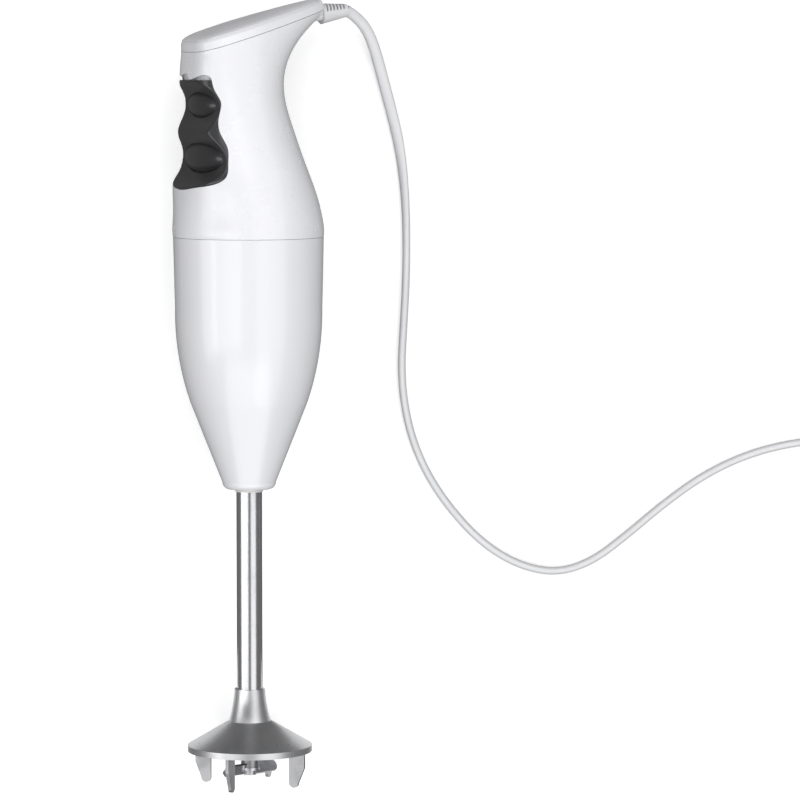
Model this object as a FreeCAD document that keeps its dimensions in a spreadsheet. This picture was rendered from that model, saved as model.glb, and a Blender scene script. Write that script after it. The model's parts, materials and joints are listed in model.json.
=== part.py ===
import FreeCAD, Part
import math
import os
from types import SimpleNamespace

import Sketcher
from FreeCAD import Matrix, Placement, Rotation, Vector

# An immersion blender: a motor housing with a two-button handle, a steel tube with a bell
# guard, and a free flat mains lead.  Every sub-part is drawn in the tool's own frame:
# X is the front (the buttons), Y the left side, Z the shaft line towards the cord, and a
# level is a height above the tips of the guard's prongs.  One placement lays the tool on
# its side, so that it rests on the guard's rim and the housing, with +Z up.

DRIVING = {
    # lie of the tool
    "front_turn": 64.0,
    "axis_rise": 1.4,
    # housing and handle
    "wall": 2.4,
    "housing_foot": 131.0,
    "housing_foot_radius": 11.7,
    "cone_top": 168.8,
    "cone_top_radius": 25.5,
    "shoulder_bend": 122.0,
    "shoulder": 210.0,
    "shoulder_radius": 32.1,
    "seam": 241.3,
    "seam_radius": 32.8,
    "spigot_radius": 29.7,
    "cover_level": 329.5,
    "cover_tilt": 16.7,
    "bevel_height": 3.3,
    "crown_height": 3.1,
    # buttons
    "pad_thickness": 1.8,
    "upper_button_level": 298.8,
    "lower_button_level": 276.0,
    "button_seat": 18.9,
    "button_height": 5.6,
    "upper_button_wide": 15.4,
    "upper_button_tall": 6.6,
    "lower_button_wide": 20.4,
    "lower_button_tall": 7.6,
    "button_gap": 0.3,
    # tube, bell and blade
    "tube_radius": 5.66,
    "tube_wall": 0.8,
    "tube_foot": 38.0,
    "tube_top": 150.0,
    "collar_radius": 6.1,
    "neck_top": 42.8,
    "neck_radius": 6.65,
    "neck_foot": 28.7,
    "neck_foot_radius": 9.2,
    "rim_radius": 27.4,
    "rim_top": 18.1,
    "rim_foot": 15.4,
    "sheet": 1.0,
    "prong_inner": 18.7,
    "prong_outer": 25.9,
    "prong_thickness": 1.4,
    "prong_turn": 43.3,
    "hub_radius": 4.0,
    "hub_top": 26.9,
    "blade_level": 8.0,
    "blade_reach": 15.5,
    "blade_chord": 6.0,
    "blade_gauge": 1.1,
    # drive line
    "drive_radius": 2.5,
    "running_gap": 0.05,
    "motor_shaft_radius": 3.0,
    "core_foot": 192.0,
    "core_height": 24.0,
    "core_radius": 13.7,
    "stator_bore": 14.3,
    "stator_inner": 22.6,
    "stator_outer": 27.6,
    "bolt_circle": 24.4,
    "bolt_radius": 1.5,
    "commutator_radius": 7.0,
    "commutator_foot": 222.0,
    "fan_radius": 19.5,
    # cord and plug
    "cord_radius": 2.5,
    "relief_level": 338.0,
    "relief_back": 34.6,
    "relief_length": 12.6,
    "relief_inside": 8.0,
    "relief_radius": 4.6,
    "relief_tip_radius": 2.9,
    "relief_rise": 7.1,
    "coil_inner": 22.0,
    "coil_outer": 33.0,
    "coil_lift": 1.4,
    "pin_radius": 2.0,
    "pin_length": 19.0,
    "pin_spacing": 18.6,
    "plug_width": 35.0,
    "plug_thickness": 13.7,
}

doc = FreeCAD.newDocument("ImmersionBlender")
sheet = doc.addObject("Spreadsheet::Sheet", "Sizes")


class Size:
    """A length with its number and the expression over the sheet that it comes from."""

    def __init__(self, number, text):
        self.number = number
        self.text = text

    def joined(self, other, sign, number):
        return Size(number, f"({self.text} {sign} {other.text})")

    def __add__(self, other):
        other = as_size(other)
        return self.joined(other, "+", self.number + other.number)

    def __sub__(self, other):
        other = as_size(other)
        return self.joined(other, "-", self.number - other.number)

    def __mul__(self, other):
        other = as_size(other)
        return self.joined(other, "*", self.number * other.number)

    def __neg__(self):
        return self * -1


def as_size(value):
    if isinstance(value, Size):
        return value
    return Size(float(value), f"({value})")


def fill_sheet():
    """Write the driving dimensions to the sheet and return them by name."""
    named = {}
    for row, (alias, value) in enumerate(DRIVING.items(), start=1):
        sheet.set(f"A{row}", alias.replace("_", " "))
        sheet.set(f"B{row}", str(value))
        sheet.setAlias(f"B{row}", alias)
        named[alias] = Size(value, f"Sizes.{alias}")
    doc.recompute()
    return SimpleNamespace(**named)


D = fill_sheet()

# ---------------------------------------------------------------- helpers


def lying_placement():
    """Turn the tool on its side: shaft along +Y, front up to the left, then lift it."""
    turn = math.radians(D.front_turn.number)
    rise = math.radians(D.axis_rise.number)
    to_row = Matrix(
        -math.sin(turn), math.cos(turn), 0, 0,
        0, 0, 1, 0,
        math.cos(turn), math.sin(turn), 0, 0,
        0, 0, 0, 1,
    )
    tilt = Placement(Vector(0, 0, 0), Rotation(Vector(1, 0, 0), math.degrees(rise)))
    rim_drop = D.rim_radius.number * math.cos(rise) - D.rim_foot.number * math.sin(rise)
    lift = Placement(ROW_SHIFT + Vector(0, 0, rim_drop), Rotation())
    return lift.multiply(tilt).multiply(Placement(to_row))


ROW_SHIFT = Vector(-5.268, -172.037, 0.046)
LYING = lying_placement()
UPRIGHT = Placement()
SUBPARTS = []


def keep(thing, label, placement=LYING):
    """Name a finished sub-part, put it in its place and note it for export."""
    if thing.TypeId in ("Part::Cylinder", "Part::Box"):
        thing = group(thing)
    thing.Label = label
    thing.Placement = placement.multiply(thing.Placement)
    SUBPARTS.append(thing)
    return thing


def bind(thing, **sizes):
    for name, value in sizes.items():
        thing.setExpression(name, as_size(value).text)


def place(thing, x, y, z, rotation=Rotation()):
    """Give a primitive its turn, and bind its position to the sheet."""
    thing.Placement = Placement(Vector(0, 0, 0), rotation)
    for axis, value in zip("xyz", (x, y, z)):
        thing.setExpression(f".Placement.Base.{axis}", as_size(value).text)


ALONG = {
    "x": Rotation(Vector(0, 1, 0), 90),
    "y": Rotation(Vector(1, 0, 0), -90),
    "z": Rotation(),
}


def cylinder(radius, foot, height, x=0, y=0, along="z"):
    """A cylinder whose foot centre is (x, y, foot) and which runs along an axis."""
    thing = doc.addObject("Part::Cylinder", "Cylinder")
    bind(thing, Radius=radius, Height=height)
    place(thing, x, y, foot, ALONG[along])
    return thing


def box(low, high, rotation=Rotation()):
    """A box from its low corner to its high corner."""
    low = [as_size(value) for value in low]
    high = [as_size(value) for value in high]
    thing = doc.addObject("Part::Box", "Box")
    spans = [top - bottom for bottom, top in zip(low, high)]
    bind(thing, Length=spans[0], Width=spans[1], Height=spans[2])
    place(thing, *low, rotation)
    return thing


def fuse(*things):
    thing = doc.addObject("Part::MultiFuse", "Fusion")
    thing.Shapes = list(things)
    return thing


def cut(base, *tools):
    thing = doc.addObject("Part::Cut", "Cut")
    thing.Base = base
    thing.Tool = tools[0] if len(tools) == 1 else fuse(*tools)
    return thing


def group(*things):
    thing = doc.addObject("Part::Compound", "Group")
    thing.Links = list(things)
    return thing


def shaped(shape):
    """A free-form sub-part, or a tool for one, that no primitive or sketch fits."""
    thing = doc.addObject("Part::Feature", "Form")
    thing.Shape = shape
    return thing


def turned_around(thing, angle):
    """Turn a primitive or boolean about the shaft line."""
    thing.Placement = Placement(Vector(0, 0, 0), Rotation(Vector(0, 0, 1), angle))
    return thing


def origin_plane(body, role):
    return next(item for item in body.Origin.OriginFeatures if item.Role == role)


def arc_between(start, end, radius):
    """The arc from start to end: it turns left if radius is positive, else right."""
    chord = end - start
    half = chord.Length / 2
    to_centre = math.sqrt(radius * radius - half * half)
    side = Vector(-chord.y, chord.x, 0).normalize()
    centre = start + chord * 0.5 + side * math.copysign(to_centre, radius)
    first, last = (start, end) if radius > 0 else (end, start)
    circle = Part.Circle(centre, Vector(0, 0, 1), abs(radius))
    begin = math.atan2(first.y - centre.y, first.x - centre.x)
    finish = math.atan2(last.y - centre.y, last.x - centre.x)
    if finish < begin:
        finish += 2 * math.pi
    return Part.ArcOfCircle(circle, begin, finish)


def draw_outline(sketch, corners):
    """Draw a closed outline of lines and arcs and bind each corner to the sheet.

    A corner is (across, up), or (across, up, bend) where bend is the radius of the arc
    to the next corner, positive when the outline turns left along it.
    """

    points = [Vector(as_size(c[0]).number, as_size(c[1]).number, 0) for c in corners]
    ends = []
    for index, corner in enumerate(corners):
        start = points[index]
        end = points[(index + 1) % len(points)]
        if len(corner) == 3:
            bend = as_size(corner[2])
            edge = sketch.addGeometry(arc_between(start, end, bend.number), False)
            forward = bend.number > 0
            radius = sketch.addConstraint(
                Sketcher.Constraint("Radius", edge, abs(bend.number))
            )
            text = bend.text if forward else f"(-1 * {bend.text})"
            sketch.setExpression(f"Constraints[{radius}]", text)
        else:
            edge = sketch.addGeometry(Part.LineSegment(start, end), False)
            forward = True
        ends.append((edge, 1, 2) if forward else (edge, 2, 1))
    for index, (edge, _, last) in enumerate(ends):
        following, first, _ = ends[(index + 1) % len(ends)]
        sketch.addConstraint(
            Sketcher.Constraint("Coincident", edge, last, following, first)
        )
    for (edge, first, _), corner, point in zip(ends, corners, points):
        for kind, value in (("DistanceX", corner[0]), ("DistanceY", corner[1])):
            number = as_size(value).number
            if number == 0:
                line = -2 if kind == "DistanceX" else -1
                sketch.addConstraint(
                    Sketcher.Constraint("PointOnObject", edge, first, line)
                )
                continue
            where = sketch.addConstraint(
                Sketcher.Constraint(kind, -1, 1, edge, first, number)
            )
            sketch.setExpression(f"Constraints[{where}]", as_size(value).text)


def sketched(body, role, corners):
    sketch = body.newObject("Sketcher::SketchObject", "Outline")
    sketch.AttachmentSupport = (origin_plane(body, role), [""])
    sketch.MapMode = "FlatFace"
    draw_outline(sketch, corners)
    return sketch


def turned(corners):
    """A body turned about the shaft line; corners are (radius, level) pairs."""
    body = doc.addObject("PartDesign::Body", "Body")
    sketch = sketched(body, "XZ_Plane", corners)
    spin = body.newObject("PartDesign::Revolution", "Revolution")
    spin.Profile = sketch
    spin.ReferenceAxis = (sketch, ["V_Axis"])
    spin.Angle = 360
    return body


def padded(role, corners, thickness):
    """A body padded both ways from one of its origin planes."""
    body = doc.addObject("PartDesign::Body", "Body")
    sketch = sketched(body, role, corners)
    pad = body.newObject("PartDesign::Pad", "Pad")
    pad.Profile = sketch
    pad.Midplane = True
    pad.setExpression("Length", as_size(thickness).text)
    return body


def ring(inner, outer, foot, top):
    return turned([(inner, foot), (outer, foot), (outer, top), (inner, top)])


# ---------------------------------------------------------------- handle forms

# Each handle section: level, tilt, widest point, front, rear, half width, and the
# squareness of its front and rear halves.  Lengths are measured from the shaft line.
HANDLE_SECTIONS = [
    (249.0, 0.0, 0.0, 32.7, 32.3, 32.6, 2.05, 2.0),
    (257.0, 0.0, 0.0, 32.1, 30.3, 31.6, 2.25, 2.0),
    (266.0, 0.0, 0.0, 31.4, 27.0, 30.0, 2.6, 2.0),
    (276.0, 0.0, 0.0, 30.2, 22.9, 27.6, 2.8, 2.0),
    (287.0, 0.0, 2.0, 29.5, 19.4, 24.0, 3.0, 2.0),
    (299.0, 1.0, 4.0, 28.9, 15.8, 21.2, 3.3, 2.0),
    (310.0, 5.0, 5.0, 28.6, 15.6, 19.3, 3.6, 2.0),
    (319.0, 10.0, 6.0, 28.6, 20.6, 18.5, 3.8, 1.9),
    (325.0, 14.0, 6.0, 28.7, 29.5, 18.4, 3.8, 1.7),
]
COVER_SHAPE = (6.0, 28.8, 41.0, 18.4, 3.8, 1.5)
OUTLINE_POINTS = 32
# The finger grooves in the front, as (forward, level) points from the top down.
GROOVE_LINE = [
    (34.0, 312.2), (29.6, 309.2), (26.0, 306.4), (22.6, 302.4), (21.6, 298.2),
    (22.8, 293.4), (25.6, 289.2), (26.4, 287.0), (25.4, 284.6), (22.0, 280.0),
    (20.9, 275.0), (22.4, 270.0), (26.8, 266.0), (31.4, 263.2), (36.0, 261.6),
]
# The soft pad's half outline from the front, as (sideways, level) points.
PAD_LINE = [
    (0.0, 311.0), (10.0, 311.0), (15.2, 310.9), (16.4, 307.0), (18.8, 300.0),
    (19.2, 292.0), (20.2, 287.0), (22.8, 281.0), (24.4, 274.0), (24.6, 267.5),
    (14.0, 263.6), (0.0, 262.2),
]


def outline(shape, inset=0.0, scale=1.0, points=OUTLINE_POINTS):
    """Points round one handle section, in its own plane."""
    widest, front, rear, half_width, front_power, rear_power = shape
    found = []
    for step in range(points):
        angle = 2 * math.pi * (step + 0.5) / points
        ahead = math.cos(angle) > 0
        power = front_power if ahead else rear_power
        reach = (front - widest if ahead else rear + widest) - inset
        along = math.copysign(abs(math.cos(angle)) ** (2 / power), math.cos(angle))
        aside = math.copysign(abs(math.sin(angle)) ** (2 / power), math.sin(angle))
        x = widest + along * reach * scale
        y = aside * (half_width - inset) * scale
        found.append(Vector(x, y, 0))
    return found


def section_wire(points, level, tilt, lift=0.0):
    """A closed smooth wire through the points, in a plane tilted about the Y axis."""
    curve = Part.BSplineCurve()
    curve.interpolate(points, PeriodicFlag=True)
    wire = Part.Wire(curve.toShape())
    frame = Placement(Vector(0, 0, level), Rotation(Vector(0, 1, 0), tilt))
    wire.Placement = frame.multiply(Placement(Vector(0, 0, lift), Rotation()))
    return wire


def handle_form(inset, foot=0.0, lift=0.0):
    """The handle's solid, shrunk all round by inset; foot and lift lengthen its ends."""
    seam = D.seam.number
    round_shape = (0.0,) + (D.seam_radius.number,) * 3 + (2.0, 2.0)
    wires = [section_wire(outline(round_shape, inset), seam - foot, 0.0)]
    if foot:
        wires.append(section_wire(outline(round_shape, inset), seam, 0.0))
    for level, tilt, *shape in HANDLE_SECTIONS:
        wires.append(section_wire(outline(shape, inset), level, tilt))
    top = section_wire(
        outline(COVER_SHAPE, inset), D.cover_level.number, D.cover_tilt.number, lift
    )
    return Part.makeLoft(wires + [top], True, False)


def groove_form(shift):
    """The block that hollows the finger grooves, moved back by shift."""
    curve = Part.BSplineCurve()
    curve.interpolate([Vector(x - shift, 0, z) for x, z in GROOVE_LINE])
    top_x, top_z = GROOVE_LINE[0]
    foot_x, foot_z = GROOVE_LINE[-1]
    back = 60.0
    rim = Part.makePolygon([
        Vector(foot_x - shift, 0, foot_z), Vector(back, 0, foot_z),
        Vector(back, 0, top_z), Vector(top_x - shift, 0, top_z),
    ])
    half = D.seam_radius.number + 5
    face = Part.Face(Part.Wire([curve.toShape()] + rim.Edges))
    face.translate(Vector(0, -half, 0))
    return face.extrude(Vector(0, 2 * half, 0))


def grooved_form(inset, foot=0.0, lift=0.0):
    return handle_form(inset, foot, lift).cut(groove_form(inset))


def pad_block(gap):
    """A block along X with the soft pad's outline, grown by gap."""
    grown = []
    for y, z in PAD_LINE:
        away = Vector(0, y, z - 287.0).normalize() * gap
        grown.append(Vector(0, y, z) + away)
    mirrored = [Vector(0, -p.y, p.z) for p in reversed(grown[1:-1])]
    curve = Part.BSplineCurve()
    curve.interpolate(grown + mirrored, PeriodicFlag=True)
    face = Part.Face(Part.Wire(curve.toShape()))
    face.translate(Vector(12, 0, 0))
    return face.extrude(Vector(30, 0, 0))


def relief_axis():
    """Where the strain relief leaves the handle and the way that it points."""
    rise = math.radians(D.relief_rise.number)
    start = Vector(-D.relief_back.number, 0, D.relief_level.number)
    return start, Vector(-math.cos(rise), 0, math.sin(rise))


def relief_socket():
    """The hole that holds the strain relief's inner end and its flange."""
    start, way = relief_axis()
    inside = D.relief_inside.number
    gap = 0.05
    shank = Part.makeCylinder(RELIEF_SHANK + gap, inside, start - way * inside, way)
    flange = Part.makeCylinder(
        RELIEF_FLANGE + gap, 2 + 2 * gap, start - way * (inside + gap), way
    )
    return shank.fuse(flange)


def spur_end():
    """The block that squares off the handle's rear spur where the relief starts."""
    start, way = relief_axis()
    side = 60.0
    block = Part.makeBox(side, side, side, Vector(0, -side / 2, -side / 2))
    block.Placement = Placement(start, Rotation(Vector(1, 0, 0), way)).multiply(
        block.Placement
    )
    return block


def button_form(level, wide, tall, gap):
    """A dome standing on its seat, grown all round by gap."""
    seat = D.button_seat.number
    dome = Part.makeSphere(1.0)
    grow = Matrix()
    grow.scale(D.button_height.number + gap, wide / 2 + gap, tall / 2 + gap)
    dome = dome.transformGeometry(grow)
    dome.translate(Vector(seat, 0, level))
    half = 40.0
    front = Part.makeBox(half, half, half, Vector(seat, -half / 2, level - half / 2))
    return dome.common(front)


def button_window(level, wide, tall):
    """The opening in the handle's wall that a button's base moves in."""
    gap = D.button_gap.number
    ellipse = Part.Ellipse(Vector(0, 0, 0), wide / 2 + gap, tall / 2 + gap)
    face = Part.Face(Part.Wire(ellipse.toShape()))
    face.Placement = Placement(
        Vector(12, 0, level), Rotation(Vector(0, 1, 0), Vector(0, 0, 1), Vector(1, 0, 0), "XYZ")
    )
    return face.extrude(Vector(9.2, 0, 0))


# The switch stack behind the buttons, and the posts and bosses that carry it.
BOARD_FRONT = 9.6
SWITCH_TOP = 13.8
PLUNGER = 0.7
BUTTON_TRAVEL = 1.2
POST_LEVELS = (265.0, 307.0)
SCREW_RADIUS = 1.3
CLAMP_BACK = -11.2
CLAMP_LEVEL = 320.5
CLAMP_SIDES = (-5.6, 5.6)
BUTTONS = {
    "upper": (
        D.upper_button_level.number,
        2 * D.upper_button_wide.number,
        2 * D.upper_button_tall.number,
    ),
    "lower": (
        D.lower_button_level.number,
        2 * D.lower_button_wide.number,
        2 * D.lower_button_tall.number,
    ),
}
RELIEF_SHANK = 3.0
RELIEF_FLANGE = 3.8

# ---------------------------------------------------------------- casing


def make_motor_housing():
    foot = D.housing_foot
    spigot_wall = 1.6
    body = turned([
        (D.collar_radius + 0.05, foot),
        (D.housing_foot_radius - 2.5, foot, 2.9),
        (D.housing_foot_radius, foot + 2.9),
        (D.cone_top_radius, D.cone_top, D.shoulder_bend),
        (D.shoulder_radius, D.shoulder),
        (D.seam_radius, D.seam - 0.15),
        (D.spigot_radius, D.seam - 0.15),
        (D.spigot_radius, D.seam + 4.7),
        (D.spigot_radius - spigot_wall, D.seam + 4.7),
        (D.spigot_radius - spigot_wall, D.seam - 3),
        (D.shoulder_radius - 2.1, D.seam - 5),
        (D.shoulder_radius - D.wall, D.shoulder, -(D.shoulder_bend - D.wall)),
        (D.cone_top_radius - 2.24, D.cone_top + 0.85),
        (D.housing_foot_radius - 2.2, foot + 3.9),
        (D.collar_radius + 0.05, foot + 3.9),
    ])
    keep(body, "motor_housing")


def make_handle_shell():
    inset = D.wall.number
    shell = grooved_form(0.0).cut(grooved_form(inset, foot=3.0, lift=2.0))
    recess = pad_block(0.12).cut(grooved_form(D.pad_thickness.number, foot=3.0))
    shell = shell.cut(recess)
    shell = shell.fuse(screw_posts()).cut(screw_holes())
    for level, wide, tall in BUTTONS.values():
        shell = shell.cut(button_window(level, wide, tall))
        shell = shell.cut(button_form(level, wide, tall, D.button_gap.number))
    shell = shell.cut(spur_end()).cut(relief_socket())
    shell = shell.cut(cover_lip(0.1)).cut(inner_lead_tube(0.15))
    keep(shaped(shell), "handle_shell")


def screw_posts():
    """Posts for the switch board on the front wall, and bosses for the clamp behind."""
    front = Vector(1, 0, 0)
    posts = [Part.makeCylinder(3.0, 20, Vector(BOARD_FRONT, 0, z), front) for z in POST_LEVELS]
    posts = posts[0].fuse(posts[1:]).common(grooved_form(D.pad_thickness.number + 0.2))
    bosses = [
        Part.makeCylinder(2.6, 12, Vector(CLAMP_BACK - 0.1, y, CLAMP_LEVEL), front * -1)
        for y in CLAMP_SIDES
    ]
    bosses = bosses[0].fuse(bosses[1:]).common(handle_form(1.0))
    return posts.fuse(bosses)


def screw_holes():
    front = Vector(1, 0, 0)
    gap = 0.05
    holes = [
        Part.makeCylinder(SCREW_RADIUS + gap, 6, Vector(BOARD_FRONT - 0.2, 0, z), front)
        for z in POST_LEVELS
    ]
    holes += [
        Part.makeCylinder(SCREW_RADIUS + gap, 3.2, Vector(CLAMP_BACK, y, CLAMP_LEVEL), front * -1)
        for y in CLAMP_SIDES
    ]
    return holes[0].fuse(holes[1:])


def cover_lip(gap):
    """The ring under the top cover that sits inside the handle's rim, grown by gap."""
    level = D.cover_level.number
    tilt = D.cover_tilt.number

    def band(low, high, inset):
        wires = [
            section_wire(outline(COVER_SHAPE, inset), level, tilt, lift) for lift in (low, high)
        ]
        return Part.makeLoft(wires, True, True)

    return band(-2.0 - gap, 0.6 + gap, 2.7 - gap).cut(band(-3.0, 1.5, 3.6 + gap))


def make_top_cover():
    level = D.cover_level.number
    tilt = D.cover_tilt.number
    bevel = D.bevel_height.number
    crown = D.crown_height.number
    gap = 0.2

    def wire(lift, scale=1.0, inset=0.0):
        return section_wire(outline(COVER_SHAPE, inset, scale), level, tilt, lift)

    skirt = Part.makeLoft([wire(gap), wire(bevel, 0.965)], True, True)
    steps = [(0.0, 0.965), (0.42, 0.9), (0.72, 0.76), (0.9, 0.55), (0.98, 0.3), (1.0, 0.1)]
    dome = Part.makeLoft([wire(bevel + crown * up, s) for up, s in steps], True, False)
    hollow = Part.makeLoft([wire(-1.0, 1.0, 3.6), wire(bevel + 0.3, 0.965, 3.6)], True, True)
    cover = skirt.fuse(dome).cut(hollow).fuse(cover_lip(0.0))
    cover = cover.cut(spur_end()).cut(relief_socket())
    keep(shaped(cover.removeSplitter()), "top_cover")


def make_switch_pad():
    depth = D.pad_thickness.number
    pad = grooved_form(0.0).cut(grooved_form(depth, foot=3.0)).common(pad_block(0.0))
    for level, wide, tall in BUTTONS.values():
        pad = pad.cut(button_form(level, wide, tall, D.button_gap.number))
    keep(shaped(max(pad.Solids, key=lambda solid: solid.Volume)), "switch_pad")


def make_button(name):
    level, wide, tall = BUTTONS[name]
    dome = button_form(level, wide, tall, 0.0)
    stem_foot = SWITCH_TOP + PLUNGER + BUTTON_TRAVEL + 0.2
    stem = Part.makeCylinder(
        1.5, D.button_seat.number - stem_foot + 0.5, Vector(stem_foot, 0, level), Vector(1, 0, 0)
    )
    keep(shaped(dome.fuse(stem)), f"{name}_button")


def wire_spring(pitch, length, coil_radius, wire_radius):
    """A round wire wound along z, its section square to the winding."""
    helix = Part.makeLongHelix(pitch, length, coil_radius)
    climb = math.atan2(pitch, 2 * math.pi * coil_radius)
    along = Vector(0, math.cos(climb), math.sin(climb))
    start = Part.Circle(Vector(coil_radius, 0, 0), along, wire_radius)
    section = Part.Wire(start.toShape())
    return Part.Wire(helix.Edges).makePipeShell([section], True, True)


def make_button_spring(name):
    """A small return spring between a button and its switch."""
    level = BUTTONS[name][0]
    wire_radius = 0.25
    coil_radius = 2.2
    pitch = 1.0
    foot = SWITCH_TOP + 0.1
    length = D.button_seat.number - foot - 2 * wire_radius
    spring = wire_spring(pitch, length, coil_radius, wire_radius)
    spring.Placement = Placement(
        Vector(foot + wire_radius, 0, level), ALONG["x"]
    )
    keep(shaped(spring), f"{name}_button_spring")


# ---------------------------------------------------------------- switches


def make_switch_board():
    thickness = 1.6
    front = BOARD_FRONT
    board = box((front - thickness, -9, 262), (front, 9, 310))
    holes = [cylinder(1.5, level, 4, x=front - 3, along="x") for level in POST_LEVELS]
    keep(cut(board, *holes), "switch_board")
    screws = []
    for level in POST_LEVELS:
        head = cylinder(2.4, level, 1.2, x=front - thickness - 1.2, along="x")
        shank = cylinder(SCREW_RADIUS, level, 7.0, x=front - thickness, along="x")
        screws.append(fuse(head, shank))
    keep(group(*screws), "board_screws")


def make_switch(name):
    level = BUTTONS[name][0]
    block = box((BOARD_FRONT, -6.5, level - 3.2), (SWITCH_TOP, 6.5, level + 3.2))
    plunger = cylinder(1.2, level, PLUNGER, x=SWITCH_TOP, along="x")
    keep(fuse(block, plunger), f"{name}_switch")


def make_board_parts():
    diode = cylinder(1.6, 287.5, 8.0, x=6.3, y=-4.0, along="y")
    keep(diode, "speed_diode")
    capacitor = box((0.6, -7, 268), (7.9, 7, 282))
    keep(capacitor, "noise_capacitor")


def make_cord_clamp():
    back = CLAMP_BACK
    front = back + 4.6
    level = CLAMP_LEVEL
    bar = box((back, -8, level - 2.5), (front, 8, level + 2.5))
    channel = cylinder(D.cord_radius + 0.1, level - 3, 6, x=back - 0.4)
    holes = [cylinder(1.5, level, 6, x=back - 0.5, y=y, along="x") for y in CLAMP_SIDES]
    keep(cut(bar, channel, *holes), "cord_clamp")
    screws = []
    for y in CLAMP_SIDES:
        shank = cylinder(SCREW_RADIUS, level, front - back + 3, x=back - 3, y=y, along="x")
        head = cylinder(2.0, level, 1.2, x=front, y=y, along="x")
        screws.append(fuse(shank, head))
    keep(group(*screws), "clamp_screws")


def inner_lead_tube(gap):
    """The lead's end inside the handle, from the relief's flange through the clamp."""
    start, way = relief_axis()
    route = [
        start - way * D.relief_inside.number,
        Vector(-20.8, 0, 336.2),
        Vector(-12.8, 0, 328.5),
        Vector(CLAMP_BACK - 0.4, 0, 311),
    ]
    return cord_tube(route, D.cord_radius.number + gap)


def make_inner_lead():
    keep(shaped(inner_lead_tube(0.0)), "inner_lead")


# ---------------------------------------------------------------- tube, bell and blade


def make_tube():
    inner = D.tube_radius - D.tube_wall
    keep(ring(inner, D.tube_radius, D.tube_foot, D.tube_top), "shaft_tube")
    bore = D.tube_radius + 0.02
    collar = turned([
        (bore, D.housing_foot - 1.2),
        (D.collar_radius, D.housing_foot - 1.2),
        (D.collar_radius, D.housing_foot + 3.9),
        (D.collar_radius + 2.4, D.housing_foot + 3.9),
        (D.collar_radius + 1.6, D.housing_foot + 14),
        (bore, D.housing_foot + 14),
    ])
    keep(collar, "tube_collar")
    bush = D.drive_radius + D.running_gap
    keep(ring(bush, inner, D.tube_top - 9, D.tube_top - 1), "upper_shaft_bush")


def make_bell():
    seat = 6.6
    bell = turned([
        (D.tube_radius + 0.02, D.neck_top),
        (D.tube_radius + 0.02, D.tube_foot - 1),
        (seat, D.tube_foot - 1),
        (seat, D.neck_foot - 0.8),
        (D.neck_foot_radius - 0.6, D.neck_foot - 0.8),
        (D.rim_radius - D.sheet, D.rim_top - 0.6),
        (D.rim_radius - D.sheet, D.rim_foot),
        (D.rim_radius, D.rim_foot),
        (D.rim_radius, D.rim_top),
        (D.neck_foot_radius, D.neck_foot, -60),
        (D.neck_radius, D.neck_top),
    ])
    keep(bell, "bell_guard")
    bush = D.drive_radius + D.running_gap
    keep(ring(bush, seat, D.neck_foot + 1.6, D.tube_foot - 1.2), "lower_shaft_bush")
    keep(ring(bush, seat, D.neck_foot - 0.6, D.neck_foot + 1.4), "shaft_seal")


def make_prongs():
    """Four upright fins inside the bell, with rounded tips."""
    tip = 2.2
    prongs = []
    for turn in range(4):
        fin = padded("XZ_Plane", [
            (D.prong_inner, tip),
            (D.prong_inner + 2 * tip, tip),
            (D.prong_outer, 9.0),
            (D.prong_outer, D.rim_top - 0.7),
            (D.prong_inner, D.rim_top + 3.5),
        ], D.prong_thickness)
        cap = cylinder(tip, tip, D.prong_thickness, x=D.prong_inner + tip, along="y")
        cap.setExpression(".Placement.Base.y", (D.prong_thickness * -0.5).text)
        prong = fuse(fin, cap)
        prongs.append(turned_around(prong, D.prong_turn.number + 90 * turn))
    keep(group(*prongs), "guard_prongs")


def make_blade():
    level = D.blade_level
    rivet_radius = 2.8
    bore = D.drive_radius + 0.03
    hub = turned([
        (0, level), (D.hub_radius, level), (D.hub_radius, D.hub_top - 1),
        (D.hub_radius - 0.8, D.hub_top), (bore, D.hub_top), (bore, level + 4), (0, level + 4),
    ])
    slot = box((-6, -0.95, D.hub_top - 4.0), (6, 0.95, D.hub_top + 1))
    keep(cut(hub, slot), "blade_hub")
    gauge = D.blade_gauge
    disc = cylinder(D.hub_radius + 0.4, level - gauge, gauge)
    wings = []
    for side in (0, 1):
        flat = padded("XY_Plane", [
            (2.5, -(D.blade_chord * 0.5)), (D.blade_reach - 2.6, -(D.blade_chord * 0.5), 3.2),
            (D.blade_reach - 2.6, D.blade_chord * 0.5), (2.5, D.blade_chord * 0.5),
        ], gauge)
        pitch = Placement(Vector(0, 0, 0), Rotation(Vector(1, 0, 0), 52))
        lift = Placement(Vector(0, 0, level.number - gauge.number / 2), Rotation())
        turn = Placement(Vector(0, 0, 0), Rotation(Vector(0, 0, 1), 17 + 180 * side))
        flat.Placement = turn.multiply(lift).multiply(pitch)
        wings.append(flat)
    clear = 0.1
    above = cylinder(D.hub_radius + clear, level, 12)
    below = cylinder(rivet_radius + clear, level - gauge - 8, 8)
    keep(cut(fuse(disc, *wings), above, below), "blade_wings")
    keep(cylinder(rivet_radius, level - gauge - 2.2, 2.2), "blade_rivet")


# ---------------------------------------------------------------- drive line


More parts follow.
